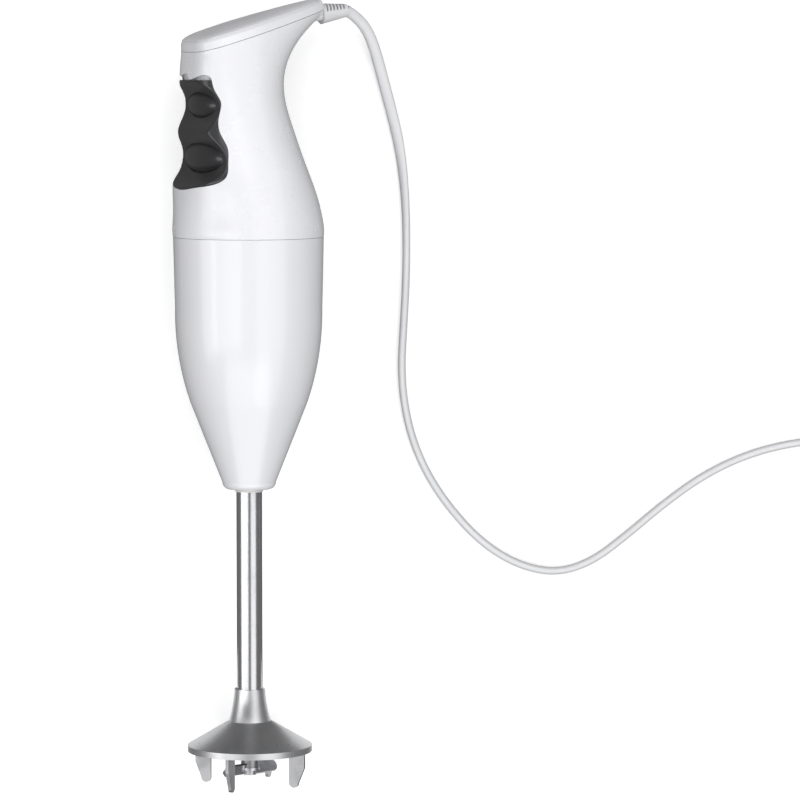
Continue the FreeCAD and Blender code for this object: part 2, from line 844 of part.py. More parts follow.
def make_shafts():
    level = D.blade_level + 4.2
    shaft = cylinder(D.drive_radius, level, D.tube_top + 7 - level)
    pin_hole = cylinder(0.8, D.hub_top - 2.4, 8, x=-4, along="x")
    keep(cut(shaft, pin_hole), "drive_shaft")
    keep(cylinder(0.8, D.hub_top - 2.4, 7.2, x=-3.6, along="x"), "drive_pin")
    sleeve_foot = D.tube_top + 0.8
    sleeve = turned([
        (D.drive_radius, sleeve_foot), (6.6, sleeve_foot), (7.2, sleeve_foot + 3),
        (7.2, sleeve_foot + 15), (D.motor_shaft_radius, sleeve_foot + 15),
        (D.motor_shaft_radius, sleeve_foot + 7.5), (D.drive_radius, sleeve_foot + 7.5),
    ])
    keep(sleeve, "coupling_sleeve")
    foot = sleeve_foot + 7.7
    keep(cylinder(D.motor_shaft_radius, foot, D.seam - 2.8 - foot), "motor_shaft")


def make_fan():
    foot = 168.2
    hub = ring(D.motor_shaft_radius, 6.0, foot, foot + 7.4)
    plate = ring(5.5, D.fan_radius, foot + 6.2, foot + 7.4)
    vanes = []
    blades = 11
    for step in range(blades):
        vane = box((5.6, -0.6, foot + 1.4), (D.fan_radius - 0.6, 0.6, foot + 6.6))
        vanes.append(turned_around(group(vane), 360 * step / blades))
    keep(fuse(hub, plate, *vanes), "cooling_fan")


def make_armature():
    foot = D.core_foot
    slots = 12
    slot_circle = 10.4
    core = ring(D.motor_shaft_radius, D.core_radius, foot, foot + D.core_height)
    holes = []
    bars = []
    for step in range(slots):
        hole = cylinder(1.8, foot - 1, D.core_height + 2, x=slot_circle)
        mouth = box(
            (slot_circle, -0.5, foot - 1), (D.core_radius + 1, 0.5, foot + D.core_height + 1)
        )
        bar = cylinder(1.6, foot - 1, D.core_height + 2, x=slot_circle)
        angle = 360 * step / slots
        holes.append(turned_around(fuse(hole, mouth), angle))
        bars.append(turned_around(group(bar), angle))
    keep(cut(core, *holes), "armature_core")
    lower = turned([
        (5.5, foot - 4.4), (10.5, foot - 4.4), (12.6, foot - 2.4), (12.6, foot - 0.1),
        (5.5, foot - 0.1),
    ])
    top = foot + D.core_height
    upper = turned([
        (5.5, top + 0.1), (12.6, top + 0.1), (12.6, top + 2.4), (10.5, top + 4.4),
        (5.5, top + 4.4),
    ])
    keep(fuse(lower, upper, *bars), "armature_windings")


def make_commutator():
    foot = D.commutator_foot
    drum = ring(D.motor_shaft_radius, D.commutator_radius, foot, foot + 9.2)
    cuts = []
    for step in range(12):
        groove = box(
            (D.commutator_radius - 0.8, -0.25, foot + 1.2),
            (D.commutator_radius + 1, 0.25, foot + 10),
        )
        cuts.append(turned_around(group(groove), 360 * step / 12 + 15))
    keep(cut(drum, *cuts), "commutator")


def make_stator():
    foot = D.core_foot
    top = foot + D.core_height
    yoke = ring(D.stator_inner, D.stator_outer, foot, top)
    shoe_ring = ring(D.stator_bore, D.stator_bore + 2.6, foot, top)
    window = box((-11, -30, foot - 1), (11, 30, top + 1))
    shoes = cut(shoe_ring, window)
    necks = []
    for side in (1, -1):
        near = D.stator_bore + 2
        far = D.stator_inner + 1
        low, high = (near, far) if side > 0 else (-far, -near)
        necks.append(box((low, -6.8, foot), (high, 6.8, top)))
    bolts = [
        cylinder(D.bolt_radius + 0.1, foot - 1, D.core_height + 2, y=side * D.bolt_circle.number)
        for side in (1, -1)
    ]
    keep(cut(fuse(yoke, shoes, *necks), *bolts), "stator_core")
    coils = []
    for side in (1, -1):
        near = D.stator_bore + 3.0
        far = D.stator_inner - 3.0
        low, high = (near, far) if side > 0 else (-far, -near)
        outer = box((low, -10.3, foot - 4.4), (high, 10.3, top + 4.4))
        inner = box((low - 1, -6.95, foot - 0.15), (high + 1, 6.95, top + 0.15))
        coils.append(cut(outer, inner))
    keep(group(*coils), "field_coils")


def bracket(radius, foot, boss_foot, boss_top):
    """A round end bracket with a bearing boss, four air windows and two bolt holes."""
    thickness = 3
    plate = cylinder(radius, foot, thickness)
    boss = cylinder(8.0, boss_foot, boss_top - boss_foot)
    bore = cylinder(5.0, boss_foot - 1, boss_top - boss_foot + 2)
    windows = []
    for turn in range(4):
        angle = math.radians(45 + 90 * turn)
        windows.append(cylinder(
            5.5, foot - 1, thickness + 2, x=16 * math.cos(angle), y=16 * math.sin(angle)
        ))
    bolts = [
        cylinder(D.bolt_radius + 0.1, foot - 1, thickness + 2, y=side * D.bolt_circle.number)
        for side in (1, -1)
    ]
    return cut(fuse(plate, boss), bore, *windows, *bolts)


def make_brackets():
    shaft_bore = D.motor_shaft_radius + D.running_gap
    keep(bracket(26.6, 183.0, 179.0, 186.6), "lower_motor_bracket")
    keep(ring(shaft_bore, 5.0, 179.4, 186.2), "lower_motor_bush")
    keep(bracket(27.8, 233.0, 232.4, 239.6), "upper_motor_bracket")
    keep(ring(shaft_bore, 5.0, 232.8, 239.2), "upper_motor_bush")
    keep(ring(27.85, 29.5, 232.6, 235.9), "motor_mount_ring")
    bolts = []
    for side in (1, -1):
        y = side * D.bolt_circle.number
        shank = cylinder(D.bolt_radius, 180.6, 57.0, y=y)
        head = cylinder(2.7, 236.0, 2.2, y=y)
        nut = cylinder(2.2, 180.6, 2.4, y=y)
        bolts.append(fuse(shank, head, nut))
    keep(group(*bolts), "motor_bolts")


def make_brushes():
    holders = []
    brushes = []
    springs = []
    level = 227.6
    face = D.commutator_radius + 0.15
    for side in (0, 180):
        outer = box((8.6, -4.6, level - 4.4), (24.0, 4.6, 233.0))
        bore = box((8.0, -3.3, level - 3.0), (23.0, 3.3, level + 3.0))
        holders.append(turned_around(cut(outer, bore), side))
        brush = box((face, -3.2, level - 2.9), (16.5, 3.2, level + 2.9))
        brushes.append(turned_around(group(brush), side))
        coil = wire_spring(1.4, 5.6, 2.0, 0.25)
        coil.Placement = Placement(Vector(16.85, 0, level), ALONG["x"])
        springs.append(turned_around(group(shaped(coil)), side))
    keep(group(*holders), "brush_holders")
    keep(group(*brushes), "carbon_brushes")
    keep(group(*springs), "brush_springs")


# ---------------------------------------------------------------- lead and plug


def make_strain_relief():
    """A tapered sleeve with six slanted grooves on its upper half."""
    start, way = relief_axis()
    length = D.relief_length.number
    inside = D.relief_inside.number
    wide = D.relief_radius.number
    tip = D.relief_tip_radius.number
    sleeve = Part.makeCone(wide, tip, length, start, way)
    shank = Part.makeCylinder(RELIEF_SHANK, inside, start - way * inside, way)
    flange = Part.makeCylinder(RELIEF_FLANGE, 2, start - way * inside, way)
    relief = sleeve.fuse([shank, flange])
    for step in range(6):
        groove = Part.makeBox(0.8, 12, 6, Vector(-0.4, -6, 0.9))
        lean = Rotation(Vector(0, 1, 0), -14)
        where = start + way * (1.6 + step * 1.7)
        groove.Placement = Placement(where, Rotation(Vector(1, 0, 0), -way)).multiply(
            Placement(Vector(0, 0, 0), lean)
        )
        relief = relief.cut(groove)
    keep(shaped(relief), "strain_relief")


# The lead's route from the relief over the table, as (x, y, height) points measured from
# the shaft line: along the handle, round in a wide loop, and off to the stored coil.
ROUTE = [
    (46.8, 337.4, 11.4), (52.0, 331.0, 7.6), (55.4, 321.6, 4.2), (58.6, 309.4, 2.7),
    (62.3, 295.6, 2.6), (65.8, 280.6, 2.6), (68.0, 263.0, 2.6), (68.9, 243.0, 2.6),
    (68.7, 221.0, 2.6), (67.5, 200.0, 2.6), (66.5, 182.0, 2.6), (67.9, 165.5, 2.6),
    (72.0, 148.6, 2.6), (79.6, 132.2, 2.6), (90.5, 117.0, 2.6), (103.6, 103.6, 2.6),
    (119.0, 94.4, 2.6), (135.8, 91.0, 2.6), (151.8, 96.4, 2.6), (167.4, 108.6, 2.6),
    (183.6, 122.4, 2.6), (200.6, 134.6, 2.6), (219.0, 143.6, 2.6), (238.4, 148.8, 2.6),
    (256.4, 150.6, 3.0), (273.4, 151.0, 3.9),
]
COIL_CENTRE = (281.0, 184.0)
# The lead's other end, from the coil's upper layer to the back of the plug.
TAIL = [
    (292.6, 215.4, 9.2), (281.3, 221.9, 8.4), (273.7, 232.8, 6.8), (271.4, 245.9, 6.2),
]


def cord_point(point):
    """A route point in the row frame."""
    x, y, z = point
    return Vector(x + ROW_SHIFT.x, y + ROW_SHIFT.y, z)


def cord_tube(points, radius):
    """A tube along straight runs joined by tangent arcs."""
    edges = []
    last = points[0]
    bends = []
    for before, corner, after in zip(points, points[1:], points[2:]):
        back = (before - corner).normalize()
        ahead = (after - corner).normalize()
        half_turn = (math.pi - back.getAngle(ahead)) / 2
        shorter = min((before - corner).Length, (after - corner).Length)
        reach = 0.45 * shorter
        bend = reach / math.tan(half_turn)
        bends.append(bend)
        begin = corner + back * reach
        finish = corner + ahead * reach
        inward = (back + ahead).normalize()
        middle = corner + inward * (bend / math.cos(half_turn) - bend)
        edges.append(Part.LineSegment(last, begin).toShape())
        edges.append(Part.Arc(begin, middle, finish).toShape())
        last = finish
    edges.append(Part.LineSegment(last, points[-1]).toShape())
    path = Part.Wire(edges)
    way = points[1] - points[0]
    section = Part.Wire(Part.Circle(points[0], way, radius).toShape())
    tube = path.makePipeShell([section], True, False)
    expected = math.pi * radius ** 2 * path.Length
    print("tightest bend", round(min(bends), 1), "run", round(path.Length, 1),
          "volume ratio", round(tube.Volume / expected, 4))
    return tube


def relief_tip():
    start, way = relief_axis()
    return LYING.multVec(start + way * D.relief_length.number)


def make_cord():
    first = relief_tip()
    radius = D.cord_radius.number
    points = [first] + [cord_point(p) for p in ROUTE]
    keep(shaped(cord_tube(points, radius)), "cord", UPRIGHT)
    tail = [cord_point(p) for p in TAIL] + [plug_placement().multVec(PLUG_ENTRY)]
    keep(shaped(cord_tube(tail, radius)), "cord_tail", UPRIGHT)


def make_coil():
    """The stored turns' outer shape: a flat ring two turns high, lying on the table."""
    x, y = COIL_CENTRE
    radius = D.cord_radius.number
    inner = D.coil_inner.number - radius
    outer = D.coil_outer.number + radius
    height = 4 * radius + 0.4
    centre = cord_point((x, y, D.coil_lift.number))
    coil = Part.makeCylinder(outer, height, centre).cut(Part.makeCylinder(inner, height, centre))
    coil = coil.makeFillet(1.8, [e for e in coil.Edges if isinstance(e.Curve, Part.Circle)])
    keep(shaped(coil), "cord_coil", UPRIGHT)
    strap = 1.0
    width = 9.0
    gap = 0.15
    near = math.sqrt(inner ** 2 - (width / 2) ** 2) - gap
    far = outer + gap
    low = D.coil_lift.number - gap
    loop = Part.makeBox(
        far - near + 2 * strap, width, height + 2 * (strap + gap),
        Vector(near - strap, -width / 2, low - strap),
    )
    space = Part.makeBox(far - near, width, height + 2 * gap, Vector(near, -width / 2, low))
    tie = loop.cut(space)
    base = cord_point((x, y, 0))
    tie.Placement = Placement(base, Rotation(Vector(0, 0, 1), 35))
    keep(shaped(tie), "cord_tie", UPRIGHT)


PLUG_ENTRY = Vector(-40, 0, 0)


def plug_placement():
    """Where the plug lies: its face at the origin, its pins along its own X axis."""
    half = D.plug_thickness.number / 2
    return Placement(cord_point((284.9, 296.1, half)), Rotation(Vector(0, 0, 1), 75))


def make_plug():
    width = D.plug_width.number
    thick = D.plug_thickness.number
    face = section_in_plug(0.0, width, thick)
    waist = section_in_plug(-14.0, width, thick)
    neck = section_in_plug(-28.0, 14.0, 11.0)
    end = section_in_plug(-40.0, 7.4, 7.0)
    front = Part.makeLoft([face, waist], True, True)
    back = Part.makeLoft([waist, neck, end], True, True)
    body = front.fuse(back).removeSplitter()
    pins = []
    root_radius = 1.4
    root_depth = 6
    for side in (1, -1):
        y = side * D.pin_spacing.number / 2
        pin = cylinder(D.pin_radius, 0, D.pin_length, y=y, along="x")
        root = cylinder(root_radius, 0, root_depth + 1, x=-root_depth, y=y, along="x")
        foot = Vector(-root_depth, y, 0)
        body = body.cut(Part.makeCylinder(root_radius, root_depth + 1, foot, Vector(1, 0, 0)))
        pins.append(fuse(pin, root))
    keep(shaped(body), "plug_body", plug_placement())
    keep(group(*pins), "plug_pins", plug_placement())


def section_in_plug(x, width, thick):
    """A rounded rectangle across the plug at x."""
    corner = 0.42 * thick
    across = width / 2 - corner
    up = thick / 2 - corner
    sine = math.sin(math.radians(45)) * corner
    right = Part.LineSegment(Vector(x, across + corner, -up), Vector(x, across + corner, up))
    edges = [right]
    corners = [(1, 1), (-1, 1), (-1, -1), (1, -1)]
    for index, (sy, sz) in enumerate(corners):
        side_point = Vector(x, sy * (across + corner), sz * up)
        flat_point = Vector(x, sy * across, sz * (up + corner))
        middle = Vector(x, sy * (across + sine), sz * (up + sine))
        begin, finish = (side_point, flat_point) if index % 2 == 0 else (flat_point, side_point)
        edges.append(Part.Arc(begin, middle, finish))
        ny, nz = corners[(index + 1) % 4]
        if index < 3:
            if index % 2 == 0:
                target = Vector(x, ny * across, nz * (up + corner))
            else:
                target = Vector(x, ny * (across + corner), nz * up)
            edges.append(Part.LineSegment(finish, target))
    return Part.Wire([edge.toShape() for edge in edges])


# ---------------------------------------------------------------- build and export


def build():
    make_motor_housing()
    make_handle_shell()
    make_top_cover()
    make_switch_pad()
    for name in BUTTONS:
        make_button(name)
        make_button_spring(name)
        make_switch(name)
    make_switch_board()
    make_board_parts()
    make_cord_clamp()
    make_inner_lead()
    make_tube()
    make_bell()
    make_prongs()
    make_blade()
    make_shafts()
    make_fan()
    make_armature()
    make_commutator()
    make_stator()
    make_brackets()
    make_brushes()
    make_strain_relief()
    make_cord()
    make_coil()
    make_plug()
    doc.recompute()


def check_objects():
    for thing in doc.Objects:
        if "Invalid" in thing.State or "Error" in thing.State:
            raise RuntimeError(f"{thing.Label} failed: {thing.State}")
    for thing in SUBPARTS:
        if thing.Shape.isNull() or not thing.Shape.isValid():
            raise RuntimeError(f"{thing.Label} has no valid shape")


def export():
    os.makedirs("parts", exist_ok=True)
    for thing in SUBPARTS:
        thing.Shape.exportStep(f"parts/{thing.Label}.step")
        size = thing.Shape.BoundBox
        print(
            f"{thing.Label:22s} {len(thing.Shape.Solids)} solids  {thing.Shape.Volume:9.1f} mm3"
            f"  x {size.XMin:7.1f} {size.XMax:7.1f}  y {size.YMin:7.1f} {size.YMax:7.1f}"
            f"  z {size.ZMin:6.1f} {size.ZMax:6.1f}"
        )


build()
check_objects()
export()
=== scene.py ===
# %% [markdown]
# # A hand blender lying on its side
#
# A glossy white motor housing, a handle with a soft dark pad and two domed buttons, a
# steel tube with a bell guard, and a flat white lead. The hard pieces arrive as a packed
# CAD model. This lesson adds the camera, the lead, the soft and moulded pieces that need
# a modeller's hand, and a finish for every surface. All numbers are metres.

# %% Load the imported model
import json
import math

import bmesh
import bpy
from mathutils import Matrix, Vector


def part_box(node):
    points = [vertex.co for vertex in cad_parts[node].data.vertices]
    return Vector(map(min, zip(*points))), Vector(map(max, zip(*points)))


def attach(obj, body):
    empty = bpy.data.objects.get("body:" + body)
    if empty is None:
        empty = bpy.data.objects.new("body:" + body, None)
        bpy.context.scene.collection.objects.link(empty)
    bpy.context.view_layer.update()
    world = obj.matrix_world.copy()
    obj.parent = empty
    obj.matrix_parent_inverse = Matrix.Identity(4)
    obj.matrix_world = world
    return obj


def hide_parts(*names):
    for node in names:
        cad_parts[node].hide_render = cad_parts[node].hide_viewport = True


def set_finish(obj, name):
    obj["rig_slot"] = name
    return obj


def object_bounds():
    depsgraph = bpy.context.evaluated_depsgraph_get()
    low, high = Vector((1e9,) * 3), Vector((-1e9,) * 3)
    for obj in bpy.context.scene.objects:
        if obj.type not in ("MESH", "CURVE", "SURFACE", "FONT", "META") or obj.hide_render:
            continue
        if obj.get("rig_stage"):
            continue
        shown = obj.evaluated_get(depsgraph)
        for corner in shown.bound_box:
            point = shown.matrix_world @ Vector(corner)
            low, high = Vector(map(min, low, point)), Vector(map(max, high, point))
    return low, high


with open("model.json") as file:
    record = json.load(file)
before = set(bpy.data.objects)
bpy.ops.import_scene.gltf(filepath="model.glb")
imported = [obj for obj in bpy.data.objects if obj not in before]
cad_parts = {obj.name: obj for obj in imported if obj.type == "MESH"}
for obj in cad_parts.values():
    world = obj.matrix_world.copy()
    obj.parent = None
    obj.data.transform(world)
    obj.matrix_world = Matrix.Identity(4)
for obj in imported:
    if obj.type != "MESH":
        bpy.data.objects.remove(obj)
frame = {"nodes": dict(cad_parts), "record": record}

cad_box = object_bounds()
nodes = frame["nodes"]
print("CAD nodes:", len(nodes), "box:", cad_box)


# %% [markdown]
# ## Where the tool lies
#
# The shaft runs almost along +Y. Its axis passes through the middle of the round tube,
# and it climbs very slightly from the bell to the housing. The lights are aimed at the
# tube's middle, and the cover's crown is tilted away from this line.

# %% The shaft's line
tube_low, tube_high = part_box("shaft_tube")
tube_middle = (tube_low + tube_high) / 2
SHAFT_RISE = math.radians(1.4)
shaft_way = Vector((0.0, math.cos(SHAFT_RISE), math.sin(SHAFT_RISE)))
print("tube middle:", [round(v, 4) for v in tube_middle])

# %% [markdown]
# ## The camera
#
# The tool is seen from straight above the table, a little to the right of the shaft. A
# long lens from almost two metres keeps the housing from bulging. The camera is an
# ordinary one, aimed at a point on the table, with no shift and no blur.

# %% Add the camera
CAMERA_PLACE = Vector((0.0607, 0.1075, 1.872))
CAMERA_AIM = Vector((0.0607, -0.0022, 0.031))
LENS_MM = 190.0


def aim(thing, target):
    """Turn a camera or light so that it looks at target, with +Y up in the picture."""
    ahead = (target - thing.location).normalized()
    right = ahead.cross(Vector((0.0, 1.0, 0.0))).normalized()
    above = right.cross(ahead)
    thing.rotation_euler = Matrix((right, above, -ahead)).transposed().to_euler()


bpy.ops.object.select_all(action="DESELECT")
bpy.ops.object.camera_add(location=CAMERA_PLACE)
camera = bpy.context.object
camera.name = "camera_above"
camera.data.lens = LENS_MM
camera.data.clip_end = 20.0
aim(camera, CAMERA_AIM)
bpy.context.scene.camera = camera
bpy.context.scene.view_settings.view_transform = "Standard"
print("camera:", tuple(round(v, 4) for v in camera.location), camera.data.lens, "mm")

# %% [markdown]
# ## The lead
#
# The lead is a flat two-core flex, 5.0 mm wide and 3.4 mm thick. It leaves the strain
# relief, drops to the table, runs down beside the housing and swings away to the right,
# where the spare length is wound into a tied coil of two layers. It could be a swept
# tube of arcs and runs, but real flex bends gently everywhere, so its line is one smooth
# NURBS spline with a control point every few centimetres.

# %% The lead's line
LEAD_WIDTH = 0.0050
LEAD_THICKNESS = 0.0034
LEAD_EXIT = (0.03707, 0.16792, 0.01468)
LEAD_ROUTE = [
    (0.0415, 0.1654, 0.0114), (0.0467, 0.1590, 0.0076), (0.0501, 0.1496, 0.0042),
    (0.0533, 0.1374, 0.0027), (0.0570, 0.1236, 0.0026), (0.0605, 0.1086, 0.0026),
    (0.0627, 0.0910, 0.0026), (0.0636, 0.0710, 0.0026), (0.0634, 0.0490, 0.0026),
    (0.0622, 0.0280, 0.0026), (0.0612, 0.0100, 0.0026), (0.0626, -0.0065, 0.0026),
    (0.0667, -0.0234, 0.0026), (0.0743, -0.0398, 0.0026), (0.0852, -0.0550, 0.0026),
    (0.0983, -0.0684, 0.0026), (0.1137, -0.0776, 0.0026), (0.1305, -0.0810, 0.0026),
    (0.1465, -0.0756, 0.0026), (0.1621, -0.0634, 0.0026), (0.1783, -0.0496, 0.0026),
    (0.1953, -0.0374, 0.0026), (0.2137, -0.0284, 0.0026), (0.2331, -0.0232, 0.0026),
    (0.2511, -0.0214, 0.0028),
]
LEAD_END = [
    (0.2760, 0.0499, 0.0084), (0.2684, 0.0608, 0.0068), (0.2661, 0.0739, 0.0062),
    (0.2693, 0.0854, 0.0068),
]

# %% [markdown]
# The coil's turns belong to the same spline. The lower layer spirals inwards, the upper
# layer spirals out again over it, and both rise a little where the tie passes under them.

# %% The coil's turns
COIL_MIDDLE = (0.2757, 0.0120)
COIL_OUTER = 0.0330
COIL_INNER = 0.0220
COIL_START_ANGLE = math.radians(-103.0)
COIL_TURNS = 4.48
POINTS_PER_TURN = 14
TIE_ANGLE = math.radians(35.0)
LAYER_LEVELS = (0.0027, 0.0080)
TIE_RISE = 0.0012


def coil_points():
    """Control points of the wound turns, in order."""
    count = round(COIL_TURNS * POINTS_PER_TURN)
    points = []
    for step in range(count + 1):
        share = step / count
        angle = COIL_START_ANGLE + share * COIL_TURNS * 2 * math.pi
        inward = 1 - abs(1 - 2 * share)
        radius = COIL_OUTER + (COIL_INNER - COIL_OUTER) * inward
        climb = min(max((share - 0.47) / 0.06, 0.0), 1.0)
        level = LAYER_LEVELS[0] + (LAYER_LEVELS[1] - LAYER_LEVELS[0]) * climb
        from_tie = math.remainder(angle - TIE_ANGLE, 2 * math.pi)
        level += TIE_RISE * math.exp(-((from_tie / 0.55) ** 2))
        points.append((
            COIL_MIDDLE[0] + radius * math.cos(angle),
            COIL_MIDDLE[1] + radius * math.sin(angle),
            level,
        ))
    return points


lead_points = [LEAD_EXIT] + LEAD_ROUTE + coil_points() + LEAD_END
print("lead: control points", len(lead_points))

# %% [markdown]
# A curve can carry a flat section along it: a small oval curve is named as its bevel. The
# flex lies with its broad face up where it leaves the tool, and stands on edge further
# on, so each control point gets a tilt. The swept skin is then made a mesh, and the
# spline's own points, read before the oval is added, are its centre line.

# %% Sweep the lead
FLAT_POINTS = 4
EDGE_POINTS = 9


def lead_tilt(index):
    """The turn of the flat section at a control point: broad face up, then on edge."""
    share = min(max((index - FLAT_POINTS) / (EDGE_POINTS - FLAT_POINTS), 0.0), 1.0)
    return math.radians(90.0) * (share * share * (3 - 2 * share))


def smooth_curve(name, points):
    """One open NURBS spline through the control points, with no thickness yet."""
    line = bpy.data.curves.new(name, "CURVE")
    line.dimensions = "3D"
    line.twist_mode = "Z_UP"
    line.resolution_u = 8
    spline = line.splines.new("NURBS")
    spline.points.add(len(points) - 1)
    for point, place in zip(spline.points, points):
        point.co = (*place, 1.0)
    spline.order_u = 3
    spline.use_endpoint_u = True
    curve = bpy.data.objects.new(name, line)
    bpy.context.scene.collection.objects.link(curve)
    return curve


def centre_line(curve):
    """The points that a curve with no thickness follows."""
    bpy.context.view_layer.update()
    seen = curve.evaluated_get(bpy.context.evaluated_depsgraph_get())
    mesh = bpy.data.meshes.new_from_object(seen)
    places = [tuple(vertex.co) for vertex in mesh.vertices]
    bpy.data.meshes.remove(mesh)
    return places


def only(thing):
    """Select one object alone and make it the active one."""
    bpy.ops.object.select_all(action="DESELECT")
    thing.select_set(True)
    bpy.context.view_layer.objects.active = thing


lead = smooth_curve("mains_lead", lead_points)
lead_line = centre_line(lead)
bpy.ops.object.select_all(action="DESELECT")
bpy.ops.curve.primitive_bezier_circle_add(radius=1.0)
oval = bpy.context.object
oval.data.resolution_u = 5
bpy.ops.transform.resize(value=(LEAD_WIDTH / 2, LEAD_THICKNESS / 2, 1.0))
bpy.ops.object.transform_apply(location=False, rotation=False, scale=True)
for index, point in enumerate(lead.data.splines[0].points):
    point.tilt = lead_tilt(index)
lead.data.bevel_mode = "OBJECT"
lead.data.bevel_object = oval
lead.data.use_fill_caps = True
only(lead)
bpy.ops.object.convert(target="MESH")
bpy.ops.object.shade_smooth()
bpy.data.objects.remove(oval)
print("lead: faces", len(lead.data.polygons), "centre points", len(lead_line))

# %% [markdown]
# ## Tools for modelling
#
# The pieces below are modelled as by hand: a primitive at its size and place, edited
# faces, then modifiers. These helpers select faces or edges by where they are, and
# finish a piece so that its object sits unturned at the origin.


# %% Selecting and finishing
def pick(thing, kind, test):
    """In edit mode, select the faces, edges or verts that pass test, and nothing else."""
    mesh = bmesh.from_edit_mesh(thing.data)
    bpy.ops.mesh.select_mode(type=kind)
    bpy.ops.mesh.select_all(action="DESELECT")
    rows = {"VERT": mesh.verts, "EDGE": mesh.edges, "FACE": mesh.faces}[kind]
    picked = [row for row in rows if test(row)]
    for row in picked:
        row.select_set(True)
    mesh.select_flush_mode()
    bmesh.update_edit_mesh(thing.data)
    return len(picked)


def edit(thing):
    only(thing)
    bpy.ops.object.mode_set(mode="EDIT")


def leave_edit():
    bpy.ops.object.mode_set(mode="OBJECT")


def modified(thing, kind, **values):
    """Add a modifier with these values and apply it."""
    only(thing)
    modifier = thing.modifiers.new(kind.lower(), kind)
    for name, value in values.items():
        setattr(modifier, name, value)
    bpy.ops.object.modifier_apply(modifier=modifier.name)


def finished(thing, place=None, angle=30.0):
    """Put the piece's place into its mesh, close its doubles and smooth its faces."""
    only(thing)
    if place is not None:
        thing.matrix_world = place @ thing.matrix_world
    bpy.ops.object.transform_apply(location=True, rotation=True, scale=True)
    edit(thing)
    bpy.ops.mesh.select_all(action="SELECT")
    bpy.ops.mesh.remove_doubles(threshold=1e-6)
    bpy.ops.mesh.normals_make_consistent(inside=False)
    leave_edit()
    bpy.ops.object.shade_smooth_by_angle(angle=math.radians(angle))
    print(thing.name, "faces", len(thing.data.polygons))
    return thing


# %% [markdown]
# ## The coil's tie
#
# A reusable strap holds the spare lead. It is a closed band round one place of the coil,
# with a buckle on top. A box gives the band's outline, its two open sides are deleted,
# its edges are rounded and it gets its thickness from a Solidify modifier.

# %% Model the tie
tie_low, tie_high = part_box("cord_tie")
tie_middle = (tie_low + tie_high) / 2
TIE_WIDTH = 0.0086
TIE_LONG = 0.0188
TIE_CORNER = 0.0022
TIE_STRAP = 0.0009
BUCKLE_LONG = 0.0056
BUCKLE_THICK = 0.0006
TIE_TALL = tie_high.z - tie_low.z - 0.0006
tie_place = Matrix.Translation(tie_middle) @ Matrix.Rotation(TIE_ANGLE, 4, "Z")

bpy.ops.object.select_all(action="DESELECT")
bpy.ops.mesh.primitive_cube_add(size=1.0)
tie = bpy.context.object
tie.name = "lead_tie"
tie.scale = (TIE_LONG, TIE_WIDTH, TIE_TALL)
bpy.ops.object.transform_apply(scale=True)
edit(tie)
pick(tie, "FACE", lambda face: abs(face.normal.y) > 0.9)
bpy.ops.mesh.delete(type="ONLY_FACE")
pick(tie, "EDGE", lambda edge: abs((edge.verts[0].co - edge.verts[1].co).normalized().y) > 0.9)
bpy.ops.mesh.bevel(offset=TIE_CORNER, segments=5, affect="EDGES")
leave_edit()
modified(tie, "SOLIDIFY", thickness=TIE_STRAP, offset=-1.0)
modified(tie, "BEVEL", width=0.0002, segments=2, limit_method="ANGLE")
finished(tie, tie_place)

bpy.ops.object.select_all(action="DESELECT")
bpy.ops.mesh.primitive_cube_add(size=1.0, location=(0.0, 0.0, TIE_TALL / 2))
buckle = bpy.context.object
buckle.name = "lead_tie_buckle"
buckle.scale = (BUCKLE_LONG, TIE_WIDTH, BUCKLE_THICK)
bpy.ops.object.transform_apply(scale=True)
edit(buckle)
pick(buckle, "FACE", lambda face: face.normal.z > 0.9)
bpy.ops.mesh.inset(thickness=0.0008)
bpy.ops.mesh.extrude_region_move(TRANSFORM_OT_translate={"value": (0, 0, -0.0003)})
leave_edit()
modified(buckle, "BEVEL", width=0.00012, segments=2, limit_method="ANGLE")
finished(buckle, tie_place)

# %% [markdown]
# ## The plug
#
# A slim two-pin plug ends the lead. Its body is one rounded form that narrows towards the
# lead, with a few grip ribs across its waist. It starts as a box with bevelled long edges,
# is divided along its length, and each ring of points is drawn in. A Bevel modifier
# rounds its other edges.

# %% Model the plug's body
PLUG_PLACE = Matrix.Translation((0.27963, 0.12406, 0.00685)) @ Matrix.Rotation(
    math.radians(75.0), 4, "Z"
)
PLUG_WIDE = 0.0344
PLUG_THICK = 0.0134
PLUG_SHAPE = [
    (-0.0400, 0.20, 0.50), (-0.0370, 0.22, 0.52), (-0.0300, 0.34, 0.68), (-0.0245, 0.52, 0.86),
    (-0.0190, 0.80, 0.97), (-0.0140, 1.00, 1.00), (-0.0070, 1.00, 1.00), (0.0000, 0.97, 0.97),
]


def form_of_rings(name, rings, corner):
    """A closed body through rounded rectangles; each ring is (x, width, thickness)."""
    bpy.ops.object.select_all(action="DESELECT")
    bpy.ops.mesh.primitive_cube_add(size=1.0)
    form = bpy.context.object
    form.name = name
    edit(form)
    pick(form, "EDGE", lambda edge: abs((edge.verts[0].co - edge.verts[1].co).x) > 0.9)
    bpy.ops.mesh.bevel(offset=corner, segments=5, affect="EDGES")
    bpy.ops.mesh.select_all(action="SELECT")
    for step in range(1, len(rings) - 1):
        bpy.ops.mesh.bisect(
            plane_co=(step / (len(rings) - 1) - 0.5, 0, 0), plane_no=(1, 0, 0)
        )
        bpy.ops.mesh.select_all(action="SELECT")
    mesh = bmesh.from_edit_mesh(form.data)
    for vertex in mesh.verts:
        step = round((vertex.co.x + 0.5) * (len(rings) - 1))
        x, width, thickness = rings[step]
        vertex.co = Vector((x, vertex.co.y * width, vertex.co.z * thickness))
    bmesh.update_edit_mesh(form.data)
    leave_edit()
    return form


